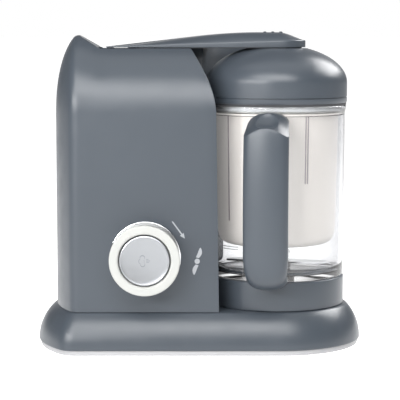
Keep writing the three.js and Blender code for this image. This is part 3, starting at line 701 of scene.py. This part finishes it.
def housing():
    """The hollow casing, with its holes and the ears of the arm's hinge."""
    collar = (COLLAR_HIGH.x - COLLAR_LOW.x) / 2 + GAP
    body = housing_outside()
    carve(body, housing_inside())
    carve(body, notch_tool(0))
    bevel(body, 0.9, 2, 55)
    carve(body, drum_tool(BOILER_X, 0, collar, COLLAR_SEAT, ABOVE, 96))
    carve(body, rod_tool(KNOB_X, KNOB_Z, KNOB_HOLE, -70, -40))
    carve(body, rod_tool(INLET_X, INLET_Z, INLET_HOLE, 40, 70))
    carve(body, hinge_ear(EAR_NEAR, EAR_FAR), "UNION")
    carve(body, hinge_ear(-EAR_FAR, -EAR_NEAR), "UNION")
    carve(body, pin_tool())
    finish_piece(body, "base", GREY, 32, ["body_shell"])


# ---------------------------------------------------------------- knob, button and trim


def dial_piece(name, outline, *rest):
    mesh_piece(name, *revolve(outline, (KNOB_X, KNOB_Z), 160, "y"), *rest)


def knob():
    """Ring with a flat front, which narrows towards the housing."""
    front, back = KNOB_LOW.y - MID_Y, KNOB_HIGH.y - MID_Y
    bore = (BUTTON_HIGH.x - BUTTON_LOW.x) / 2 + 0.6
    rim = KNOB_R - 0.6
    outline = filleted([(SHAFT_HOLE, back, 0), (rim - 3.4, back, 0.6), (rim, front + 2.4, 1.0),
                        (rim, front, 1.3), (bore + 0.9, front, 1.0), (bore, front + 1.6, 0.6),
                        (bore, back - 3.5, 0), (SHAFT_HOLE, back - 3.5, 0)], 8)
    dial_piece("knob_dial", outline, "knob", "knob_white", KNOB_WHITE, 40, ["knob_ring"])


def button():
    """A dished face, so that a fingertip finds it."""
    radius = (BUTTON_HIGH.x - BUTTON_LOW.x) / 2
    front, back = BUTTON_LOW.y - MID_Y, BUTTON_HIGH.y - MID_Y
    outline = [(0, back), (5, back), (5, front + 9), (radius, front + 9), (radius, front + 1.4)]
    outline += [(radius - 0.35, front + 0.6), (radius - 1.1, front + 0.3)]
    outline += [(radius * share, front + 0.3 + DISH * (1 - share ** 2))
                for share in spaced(0.92, 0.0, 8)]
    dial_piece("button_face", outline, "button", "button_silver", BUTTON_SILVER, 40,
               ["steam_button"])


def bezel():
    """Bright ring on the housing, behind the knob."""
    front, back = BEZEL_LOW.y - MID_Y - 1.2, BEZEL_HIGH.y - MID_Y
    outline = filleted([(BEZEL_BORE, back, 0), (KNOB_R, back, 0), (KNOB_R, front, 0.9),
                        (BEZEL_BORE, front, 0.3)], 6)
    dial_piece("knob_trim", outline, "base", "button_silver", CHROME, 40, ["knob_bezel"])


def plate(outline, surface, thickness=0.22):
    """A thin inlay from an [x, z] outline, lying on a surface whose depth depends on z."""
    rings = [[(x, surface(z) - lift, z) for x, z in outline] for lift in (-0.3, thickness)]
    return loft(rings)


def front_face(z):
    return -half_depth(KNOB_X, z)


def turn_arrow():
    """Arrow beside the knob: it turns this way to blend."""
    start, end = Vector((KNOB_X + 21.4, KNOB_Z + 28.2)), Vector((KNOB_X + 31.4, KNOB_Z + 14.6))
    along = (end - start).normalized()
    across = Vector((-along.y, along.x))
    neck = end - along * 4.2
    shaft = [start + across * 0.5, start - across * 0.5, neck - across * 0.5, neck + across * 0.5]
    head = [neck - across * 1.9, end, neck + across * 1.9]
    for name, outline in (("arrow_shaft", shaft), ("arrow_head", head)):
        mesh_piece(name, *plate(outline, front_face), "base", "knob_white", PRINT)


def petal(base, tip, width, bend):
    """A leaf from its base to its tip, bent to one side."""
    base, tip = Vector(base), Vector(tip)
    along = tip - base
    across = Vector((-along.y, along.x)).normalized()
    sides = ([], [])
    for t in spaced(0, 1, 12):
        spine = base + along * t + across * bend * math.sin(math.pi * t)
        spread = width * (0.62 + 0.75 * t - 1.25 * t ** 3)
        sides[0].append(spine + across * max(0.12, spread))
        sides[1].append(spine - across * max(0.12, spread))
    return sides[0] + sides[1][::-1]


def blade_icon():
    """Pictogram of the blades: two leaves and their hub."""
    x, z = KNOB_X + 41.2, KNOB_Z - 3.6
    upper = petal((x + 0.1, z + 2.9), (x + 2.6, z + 10.8), 1.9, -0.8)
    lower = petal((x - 0.1, z - 2.9), (x - 2.6, z - 10.8), 1.9, -0.8)
    hub = circle(x, z, 2.1, 24)
    for name, outline in (("blade_icon_top", upper), ("blade_icon_low", lower),
                          ("blade_icon_hub", hub)):
        mesh_piece(name, *plate(outline, front_face), "base", "knob_white", PRINT)


def steam_icon():
    """Pictogram of steam: a small puff drawn as an outline, with a wisp beside it."""
    front = BUTTON_LOW.y - MID_Y + 0.2 + DISH
    lobes = [(-1.6, 2.6, 2.1), (-2.4, -0.4, 2.4), (-1.4, -3.0, 2.0)]
    middle = Vector((-1.7, -0.3))
    edge = puff_outline(lobes, middle, 72)
    inner = [Vector(p) * 0.8 + middle * 0.2 for p in edge]
    start, half = 1.4, 0.28
    wisps = [[(start, z + half), (reach, z + half), (reach, z - half), (start, z - half)]
             for z, reach in ((1.1, 3.2), (0.0, 4.4), (-1.1, 3.6))]
    ring = [(KNOB_X + x, KNOB_Z + z) for x, z in edge]
    hole = [(KNOB_X + x, KNOB_Z + z) for x, z in inner]
    mesh_piece("steam_puff", *band(ring, hole, front), "button", "button_silver", INK)
    for index, wisp in enumerate(wisps):
        outline = [(KNOB_X + x, KNOB_Z + z) for x, z in wisp]
        mesh_piece(f"steam_wisp_{index + 1}", *plate(outline, lambda z: front + 0.12, 0.16),
                   "button", "button_silver", INK)


def puff_outline(lobes, middle, steps):
    """Outline of several overlapping circles, seen from a point inside them."""
    outline = []
    for k in range(steps):
        ray = Vector((math.cos(2 * math.pi * k / steps), math.sin(2 * math.pi * k / steps)))
        reach = 0.6
        for x, z, radius in lobes:
            to = Vector((x, z)) - middle
            along = to.dot(ray)
            off = to.length_squared - along * along
            if off < radius * radius:
                reach = max(reach, along + math.sqrt(radius * radius - off))
        outline.append(tuple(middle + ray * reach))
    return outline


def band(ring, hole, front):
    """A flat closed band between an outline and the smaller one inside it."""
    count = len(ring)
    points = []
    for outline, depth in ((ring, 0.3), (ring, -0.04), (hole, -0.04), (hole, 0.3)):
        points += [(x, front + depth, z) for x, z in outline]
    faces = strip_faces(4, count)
    for i in range(count):
        j = (i + 1) % count
        faces.append((3 * count + i, 3 * count + j, j, i))
    return points, faces


# ---------------------------------------------------------------- jug and basket


def turned_piece(name, outline, body, slot, material, replaces, steps=160):
    mesh_piece(name, *revolve(outline, (JUG_X, 0), steps), body, slot, material, 40, replaces)


def jug_wall():
    """Clear wall and floor, a little wider at the rim, with a flange that the lid sits on."""
    low, top = WALL_LOW.z, WALL_HIGH.z - 1.5
    foot = RING_R - 0.6
    wall = JUG_WALL_R
    outline = filleted([(FLOOR_HOLE, low + 1.2, 0), (foot - 4, low, 1.0), (foot, low, 1.5),
                        (foot + 0.4, TAPER_LOW, 0), (wall, TAPER_HIGH, 0.8),
                        (RIM_R, 193.5, 0.8), (RIM_R, top, 1.0), (RIM_BORE, top, 0.6),
                        (RIM_BORE, 189, 0.4), (wall - 2.6, 189, 0.4), (52.0, 64, 5.0),
                        (46.5, JUG_FLOOR, 3.0), (FLOOR_HOLE, JUG_FLOOR, 0)], 6)
    turned_piece("jug_wall", outline, "jug", "clear_jug", CLEAR, ["bowl_wall"])


def jug_foot():
    """Grey ring that carries the wall and drops over the stand."""
    low, top = RING_LOW.z, RING_HIGH.z
    bore, step = 50, TURRET + 0.8
    outline = filleted([(bore, low, 0), (RING_R, low, 0.9), (RING_R, top, 1.2),
                        (FLOOR_HOLE, top, 0), (FLOOR_HOLE, top - 2.5, 0),
                        (bore, top - 2.5, 0.6), (bore, 42, 0), (step, 42, 0), (step, 38.6, 0),
                        (bore, 38.6, 0)], 5)
    turned_piece("jug_foot", outline, "jug", "housing_grey", GREY, ["bowl_base_ring"])


def jug_marks():
    """Graduations on the wall, without numbers: two short lines left of the handle."""
    foot, length, half_height = 55.9, 17.0, 0.35
    middle = math.radians(-90 - 44)
    for index, z in enumerate((82.0, 84.0)):
        share = (z - TAPER_LOW) / (TAPER_HIGH - TAPER_LOW)
        radius = foot + (JUG_WALL_R - foot) * share + 0.08
        half = length / radius / 2
        turns = spaced(middle - half, middle + half, 16)
        rings = []
        for reach in (radius, radius + 0.1):
            line = [(JUG_X + reach * math.cos(t), reach * math.sin(t)) for t in turns]
            low = [(x, y, z - half_height) for x, y in line]
            rings.append(low + [(x, y, z + half_height) for x, y in reversed(line)])
        mesh_piece(f"jug_mark_{index + 1}", *loft(rings), "jug", "clear_jug", TICKS)


def handle_point(across, out, z):
    """A point of the handle from how far it is across it and out from the jug's axis."""
    x = across * math.cos(HANDLE_TURN) + out * math.sin(HANDLE_TURN)
    y = across * math.sin(HANDLE_TURN) - out * math.cos(HANDLE_TURN)
    return JUG_X + x, y, z


def handle_sections():
    """Outer and inner line of the handle seen from the side, as (out, z) pairs."""
    outer = [Vector((50, 192.4)), *bezier((50, 192.4), (58, 192.6), (66, 192.6), (74, 192.4), 6),
             *bezier((74, 192.4), (88, 192), (93, 188), (94, 176), 12),
             *bezier((94, 176), (97, 150), (98.5, 110), (97, 80), 20),
             *bezier((97, 80), (96, 62), (88, 56), (74, 53.5), 14),
             *bezier((74, 53.5), (66, 52.6), (58, 52.2), (50, 52), 6)]
    inner = [Vector((50, 176.5)), *bezier((50, 176.5), (56, 176.5), (60, 176.5), (64, 176.5), 6),
             *bezier((64, 176.5), (74, 176), (78.5, 172), (80, 160), 12),
             *bezier((80, 160), (83, 140), (83.5, 110), (81, 84), 20),
             *bezier((81, 84), (79, 72), (72, 68), (60, 66.6), 14),
             *bezier((60, 66.6), (57, 66.2), (53, 66), (50, 66), 6)]
    return list(zip(outer, inner))


def handle_half_width(z_mid, out):
    """Half the grip's width, which narrows where the grip turns in to the jug."""
    low = min(1.0, max(0.0, (84 - z_mid) / 26))
    top = min(1.0, max(0.0, (92 - out) / 24)) if z_mid > 150 else 0.0
    return HANDLE_HALF - 3.2 * low ** 2 - 2.8 * top


def jug_grip():
    """The handle: a rounded section swept from the rim to the foot, with a place for the thumb."""
    rings = []
    for outer, inner in handle_sections():
        middle = (outer + inner) / 2
        reach = (outer - inner) / 2
        width = handle_half_width(middle.y, outer.x)
        ring = []
        for angle in spaced(0, 2 * math.pi, 48)[:-1]:
            across = width * rounded(math.cos(angle), 2 / 2.15)
            point = middle + reach * rounded(math.sin(angle), 2 / 2.1)
            ring.append(handle_point(across, point.x, point.y))
        rings.append(ring)
    grip = solid("jug_grip", *loft(rings))
    carve(grip, shoulder_tool())
    carve(grip, dimple_tool())
    bevel(grip, 0.5, 2, 32)
    carve(grip, drum_tool(JUG_X, 0, JUG_WALL_R + 2 * GAP, 40, 200, 160))
    carve(grip, drum_tool(JUG_X, 0, RIM_R + 2 * GAP, 189.5, 200, 160))
    finish_piece(grip, "jug", GREY, 30, ["bowl_handle"])


def rounded(value, power):
    """A sine or cosine that draws a superellipse."""
    return math.copysign(abs(value) ** power, value)


def shoulder_tool():
    """Everything above the arched shoulder where the thumb rests."""
    front, back, side, roof_z = 100.0, 66.0, 24, 215
    low = [(a, 180.9 - 0.031 * a * a) for a in spaced(-side, side, 24)]
    rings = []
    for out, lift in ((front, -2.4), (back, 14.6)):
        arch = [handle_point(a, out, z + lift) for a, z in low]
        roof = [handle_point(a, out, roof_z) for a in (side, -side)]
        rings.append(arch + roof)
    return solid_tool(*loft(rings))


def dimple_tool():
    """A ball that presses the thumb's hollow into the shoulder."""
    radius, depth = 17.0, 5.0
    out, height = 83.0, 187.6
    lean_out, lean_up = 0.45, 0.893
    centre = Vector(handle_point(0, out + lean_out * (radius - depth),
                                 height + lean_up * (radius - depth)))
    rings = []
    for j in range(1, 24):
        pitch = math.pi * j / 24
        ring = circle(0, 0, math.sin(pitch), 48)
        rings.append([tuple(centre + radius * Vector((x, y, math.cos(pitch)))) for x, y in ring])
    return solid_tool(*loft(rings))


def basket():
    """Steam basket with a flange, a rounded foot, and steam holes in its floor."""
    low, top = BASKET_LOW.z, BASKET_HIGH.z
    outline = filleted([(0, low, 0), (36, low, 4), (46.5, low + 2.6, 7), (48.8, low + 14, 4),
                        (50.7, 189.3, 0.6), (54.4, 189.3, 0.5), (54.4, top, 0.6),
                        (48.9, top, 0.6), (46.8, low + 13, 4), (44.5, low + 5, 6),
                        (35.5, low + 2.2, 3), (0, low + 2.2, 0)], 6)
    cup = solid("basket", *revolve(outline, (JUG_X, 0), 160))
    hole = 2.4
    for ring, count in ((0, 1), (14, 6), (28, 10)):
        for i in range(count):
            turn = 2 * math.pi * i / count + HANDLE_TURN
            x, y = JUG_X + ring * math.cos(turn), ring * math.sin(turn)
            carve(cup, drum_tool(x, y, hole, 78, 88, 20))
    finish_piece(cup, "basket", GLOWING_CREAM, 40, ["steam_basket"])


def basket_ribs():
    """Slim upright ribs outside the basket, each with its bearing and its lower end. Their darker
    colour is a painted shade line along each rib.
    """
    top, thickness = 188.6, 0.55
    ribs = ((-141.5, 104), (-65.7, 135), (-63.4, 135), (8.0, 104), (83.0, 104))
    for index, (degrees, low) in enumerate(ribs):
        turn = math.radians(degrees)
        rings = []
        for z in (low, top):
            radius = 48.9 + 1.7 * (z - BASKET_LOW.z - 14) / 93 + 0.1
            section = circle(JUG_X + radius * math.cos(turn), radius * math.sin(turn),
                             thickness, 12)
            rings.append([(x, y, z) for x, y in section])
        mesh_piece(f"basket_rib_{index + 1}", *loft(rings), "basket", "basket_cream", RIB_PAINTED_SHADE)


# ---------------------------------------------------------------- lid


def lid():
    """Domed lid: an upright rim with a shadow groove, a shoulder and a flattened dome."""
    low, cap = LID_LOW.z, LID_HIGH.z
    shoulder, rise = 214.5, 31.0
    groove = 202.6
    start = math.asin((cap - shoulder) / rise)
    dome = [(LID_R * math.cos(t), shoulder + rise * math.sin(t)) for t in spaced(0, start, 30)]
    inner = [((LID_R - WALL) * math.cos(t), shoulder + (rise - WALL) * math.sin(t))
             for t in spaced(start, 0, 12)]
    rim = [(LID_R - WALL, low), (LID_R - 1.0, low), (LID_R - 0.3, low + 0.25),
           (LID_R, low + 1.0), (LID_R, groove), (LID_R - 0.15, groove + 0.1),
           (LID_R - 0.7, groove + 0.2), (LID_R - 0.7, groove + 0.7),
           (LID_R - 0.15, groove + 0.8), (LID_R, groove + 0.9)]
    seat = [(12, cap), (11, cap - 0.4), (11, cap - 3), (5, cap - 3), (5, cap - 5.5),
            (12, cap - 5.5)]
    turned_piece("lid", rim + dome + seat + inner, "lid", "housing_grey", GREY,
                 ["lid_dome"], 192)
    inside, outside, foot, top = 55.2, 57.0, low - 1.6, low + 0.6
    shadow = [(inside, foot), (outside, foot), (outside, top), (inside, top)]
    turned_piece("lid_shadow_band", shadow, "lid", "black_rubber", RUBBER, [])


# ---------------------------------------------------------------- arm

ARM_END = COVER_HIGH.x
ARM_START = HINGE_X - 1.0
ARM_HALF = (COVER_HIGH.y - COVER_LOW.y) / 2
ARM_FLOOR = FLAT_TOP + 0.8
ARM_TOP = COVER_HIGH.z - 0.7
ARM_ROOT = 0.7  # thickness at the hinge
ARM_TIP = 5.0  # what the side gains by the tip
CREST_RUN = 124.0  # how far the top rises before it is level
TIP_FALL = 22.0  # length of the fall over the tip


def arm_edge(x):
    """Height of the arm's side at a station: thin at the hinge and 5 mm at the tip."""
    share = (x - ARM_START) / (ARM_END - ARM_START)
    return ARM_FLOOR + ARM_ROOT + ARM_TIP * share ** 0.9


def arm_crest(x):
    """Height of the middle of the arm: a long rise, then a fall over the tip."""
    rise = min(1.0, (x - ARM_START) / CREST_RUN)
    climb = ARM_TOP - ARM_FLOOR - ARM_ROOT
    fall = max(0.0, (x - ARM_END + TIP_FALL) / TIP_FALL)
    crest = ARM_FLOOR + ARM_ROOT + climb * math.sin(rise * math.pi / 2) ** 1.4
    return crest - 6.0 * fall ** 1.5


def arm_outline():
    """Plan of the arm: straight sides and a round tip."""
    tip = arc(ARM_END - ARM_HALF, 0, ARM_HALF, -math.pi / 2, math.pi / 2, 40)
    near = [(x, -ARM_HALF) for x in spaced(ARM_START, ARM_END - ARM_HALF, 40)[:-1]]
    far = [(x, ARM_HALF) for x, _ in reversed(near)]
    end = [(ARM_START, y) for y in spaced(ARM_HALF, -ARM_HALF, 12)[1:-1]]
    return near + tip + far + end


def arm_loop(share, lift):
    """The outline drawn in towards the arm's spine, at the height of its crowned top."""
    loop = []
    for x, y in arm_outline():
        spine = min(max(x, ARM_START + 1.0), ARM_END - ARM_HALF)
        px, py = x + (spine - x) * share, y * (1 - share)
        crown = (1 - (1 - share) ** 2.3) ** 0.8
        edge = arm_edge(px)
        loop.append((px, py, edge + (max(edge, arm_crest(px)) - edge) * crown + lift))
    return loop


def arm():
    """The arm's cover, with a shallow recess for its liner and a knuckle round the pin."""
    base = [[(x, y, ARM_FLOOR) for x, y in arm_outline()]]
    side = [arm_loop(0.0, -0.55), arm_loop(0.004, -0.3), arm_loop(0.016, -0.12)]
    top = [arm_loop(share, 0.0) for share in (0.035, 0.06, 0.1, 0.16, 0.24, 0.33, 0.43, 0.54,
                                              0.65, 0.76, 0.87, 0.97)]
    points, faces = loft(base + side + top)
    piece = solid("arm", points, faces)
    carve(piece, block_tool(HINGE_X + 37, ARM_END - ARM_HALF, 2 - ARM_HALF, ARM_HALF - 2, 240,
                            ARM_FLOOR + 1.8))
    knuckle = rod_tool(HINGE_X, HINGE_Z, KNUCKLE_R, -KNUCKLE_HALF, KNUCKLE_HALF)
    carve(knuckle, block_tool(HINGE_X - 1, HINGE_X + 4, -KNUCKLE_HALF, KNUCKLE_HALF, HINGE_Z,
                              ARM_FLOOR + 0.5), "UNION")
    carve(piece, knuckle, "UNION")
    carve(piece, pin_tool())
    finish_piece(piece, "arm", GREY, 30, ["arm_cover"])


def arm_shade_strip():
    """Dark strip under the arm, a sheet of painted shade that makes the gap under the arm read black.
    It all but touches the housing and the lid.
    """
    left, right, half = HINGE_X + 35, ARM_END - 3.0, ARM_HALF - 1.5
    ring = [(left, -half), (right - half, -half)]
    ring += arc(right - half, 0, half, -math.pi / 2, math.pi / 2, 32)
    ring += [(right - half, half), (left, half)]
    rings = [[(x, y, z) for x, y in ring] for z in (FLAT_TOP + 0.06, ARM_FLOOR - 0.02)]
    strip = solid("arm_shade_strip", *loft(rings))
    boiler_hole, lid_hole = 22, 13
    for x, hole in ((BOILER_X, boiler_hole), (JUG_X, lid_hole)):
        carve(strip, drum_tool(x, 0, hole, 240, 246))
    # The black rubber look paints the shade in the gap under the arm.
    finish_piece(strip, "arm", RUBBER, 30)


def arm_ribs():
    """Three grip ribs across the arm, near its tip."""
    reach = 10.0
    for index, x in enumerate((ARM_END - 33.3, ARM_END - 26.9, ARM_END - 20.3)):
        rings = []
        for y in spaced(-reach, reach, 20):
            end = math.sqrt(max(0.0, 1 - (y / reach) ** 8))
            half = 0.25 + 1.45 * end
            base = arm_crest(x) - 1.6 - 0.02 * y * y
            top = COVER_HIGH.z - 0.02 * y * y
            section = [(x + half * rounded(math.cos(t), 0.75),
                        y, base + (top - base) * (0.25 + 0.75 * math.sin(t)) * end)
                       for t in spaced(0, math.pi, 12)]
            rings.append(section + [(x - half, y, base - 1.0), (x + half, y, base - 1.0)])
        mesh_piece(f"arm_rib_{index + 1}", *loft(rings), "arm", "housing_grey", GREY, 40)


# ---------------------------------------------------------------- CAD nodes that stay

LOOKS = {
    "housing_grey": GREY, "base_strip": STRIP, "knob_white": KNOB_WHITE,
    "button_silver": BUTTON_SILVER, "clear_jug": CLEAR, "basket_cream": GLOWING_CREAM,
    "polished_steel": STEEL, "plain_steel": PLAIN_STEEL, "bearing_bronze": BRONZE,
    "black_rubber": RUBBER, "seal_silicone": SILICONE, "dark_plastic": DARK,
    "board_green": BOARD,
}


def dress_cad_nodes():
    """Gives each CAD node the look of its slot, and smooths its facets."""
    for part in frame["record"]["subparts"]:
        item = frame["nodes"][part["node"]]
        item.data.materials.clear()
        item.data.materials.append(LOOKS[part["material_slot"]])
        smooth(item.data, 32)


# ---------------------------------------------------------------- stage, lights and camera


def table_glow():
    """White table, lit from below along a strip that widens behind the object. The strip is
    laid out on the table, in metres from the middle."""
    near, far, widening = 0.9, 2.2, 0.14
    shader = Shader("table_paper").set(roughness=0.7, emission_color=(1, 1, 1, 1))
    shader.tint(shader.noise(3.0), (0.42, 0.42, 0.42, 1.0), (0.45, 0.45, 0.45, 1.0))
    shader.bump(shader.noise(300.0), 0.05)
    split = shader.nodes.new("ShaderNodeSeparateXYZ")
    aside = shader.nodes.new("ShaderNodeMath")
    aside.operation = "ABSOLUTE"
    reach = shader.nodes.new("ShaderNodeMath")
    reach.operation = "MULTIPLY_ADD"
    reach.inputs[1].default_value = -widening
    glow = range_node(shader.nodes, near, far, 1.0, 0.4)
    shader.links.new(shader.place, split.inputs["Vector"])
    shader.links.new(split.outputs["X"], aside.inputs[0])
    shader.links.new(split.outputs["Y"], reach.inputs[0])
    shader.links.new(aside.outputs["Value"], reach.inputs[2])
    shader.links.new(reach.outputs["Value"], glow.inputs["Value"])
    shader.links.new(glow.outputs["Result"], shader.bsdf.inputs["Emission Strength"])
    return shader.material


def floor():
    """A wide, softly lit white table."""
    steps, radius = 96, 60000.0
    rings = [[(x, y, z) for x, y in circle(0, 0, radius, steps)]
             for z in (-4.0, 0.0)]
    table = solid("floor", *loft(rings))
    table.data.materials.append(table_glow())


def area_light(name, place, target, size, power):
    """A white softbox that faces its target. Glass doesn't show it, so the jug stays clear."""
    light = bpy.data.lights.new(name, "AREA")
    light.shape = "RECTANGLE"
    light.size, light.size_y = size[0] * MM, size[1] * MM
    light.energy = power
    item = bpy.data.objects.new(name, light)
    bpy.context.scene.collection.objects.link(item)
    item.location = Vector(place) * MM
    item.rotation_euler = (Vector(target) - Vector(place)).to_track_quat("-Z", "Y").to_euler()
    item.visible_transmission = False


def lights():
    """Softboxes above the front and overhead, a low strip at the left, and a rim light."""
    aim = (0, MID_Y, 150)
    lid_middle = Vector((JUG_X, MID_Y, 225))
    area_light("top", (-150, -1020, 1080), aim, (1500, 480), 16)
    area_light("front", (0, -1350, 850), aim, (1600, 420), 11)
    area_light("overhead", (0, MID_Y - 150, 1500), aim, (1600, 900), 5)
    area_light("left", (-880, -1130, 520), aim, (1300, 170), 17)
    area_light("rim", lid_middle + Vector((880, 580, 720)), lid_middle, (900, 640), 19)


def world():
    """Surroundings: white behind the object, dimmer in front and overhead."""
    scene_world = bpy.data.worlds.new("studio")
    bpy.context.scene.world = scene_world
    scene_world.use_nodes = True
    nodes, links = scene_world.node_tree.nodes, scene_world.node_tree.links
    spot = nodes.new("ShaderNodeTexCoord")
    split = nodes.new("ShaderNodeSeparateXYZ")
    ramp = range_node(nodes, 0.9, 0.975, 0.14, 1.0)
    links.new(spot.outputs["Generated"], split.inputs["Vector"])
    links.new(split.outputs["Y"], ramp.inputs["Value"])
    links.new(ramp.outputs["Result"], nodes["Background"].inputs["Color"])


def camera():
    """The photographer's place: in front, a little above the lid, looking slightly down."""
    distance, height, from_jug, pitch = 1300.0, 256.0, 63.1, 6.09
    item = bpy.data.objects.new("camera", bpy.data.cameras.new("camera"))
    bpy.context.scene.collection.objects.link(item)
    item.location = Vector((JUG_X - from_jug, MID_Y - distance, height)) * MM
    item.rotation_euler = (math.radians(90 - pitch), 0, 0)
    item.data.lens = 142.1
    item.data.sensor_width = 36
    item.data.clip_start = 0.01
    bpy.context.scene.camera = item


# ---------------------------------------------------------------- build

camera()
dress_cad_nodes()
base_skirt()
base_strip()
housing()
lid_shield()
knob()
button()
bezel()
turn_arrow()
blade_icon()
steam_icon()
jug_wall()
jug_foot()
jug_marks()
jug_grip()
basket()
basket_ribs()
lid()
arm()
arm_shade_strip()
arm_ribs()
floor()
lights()
world()
bpy.context.scene.view_settings.view_transform = "Standard"
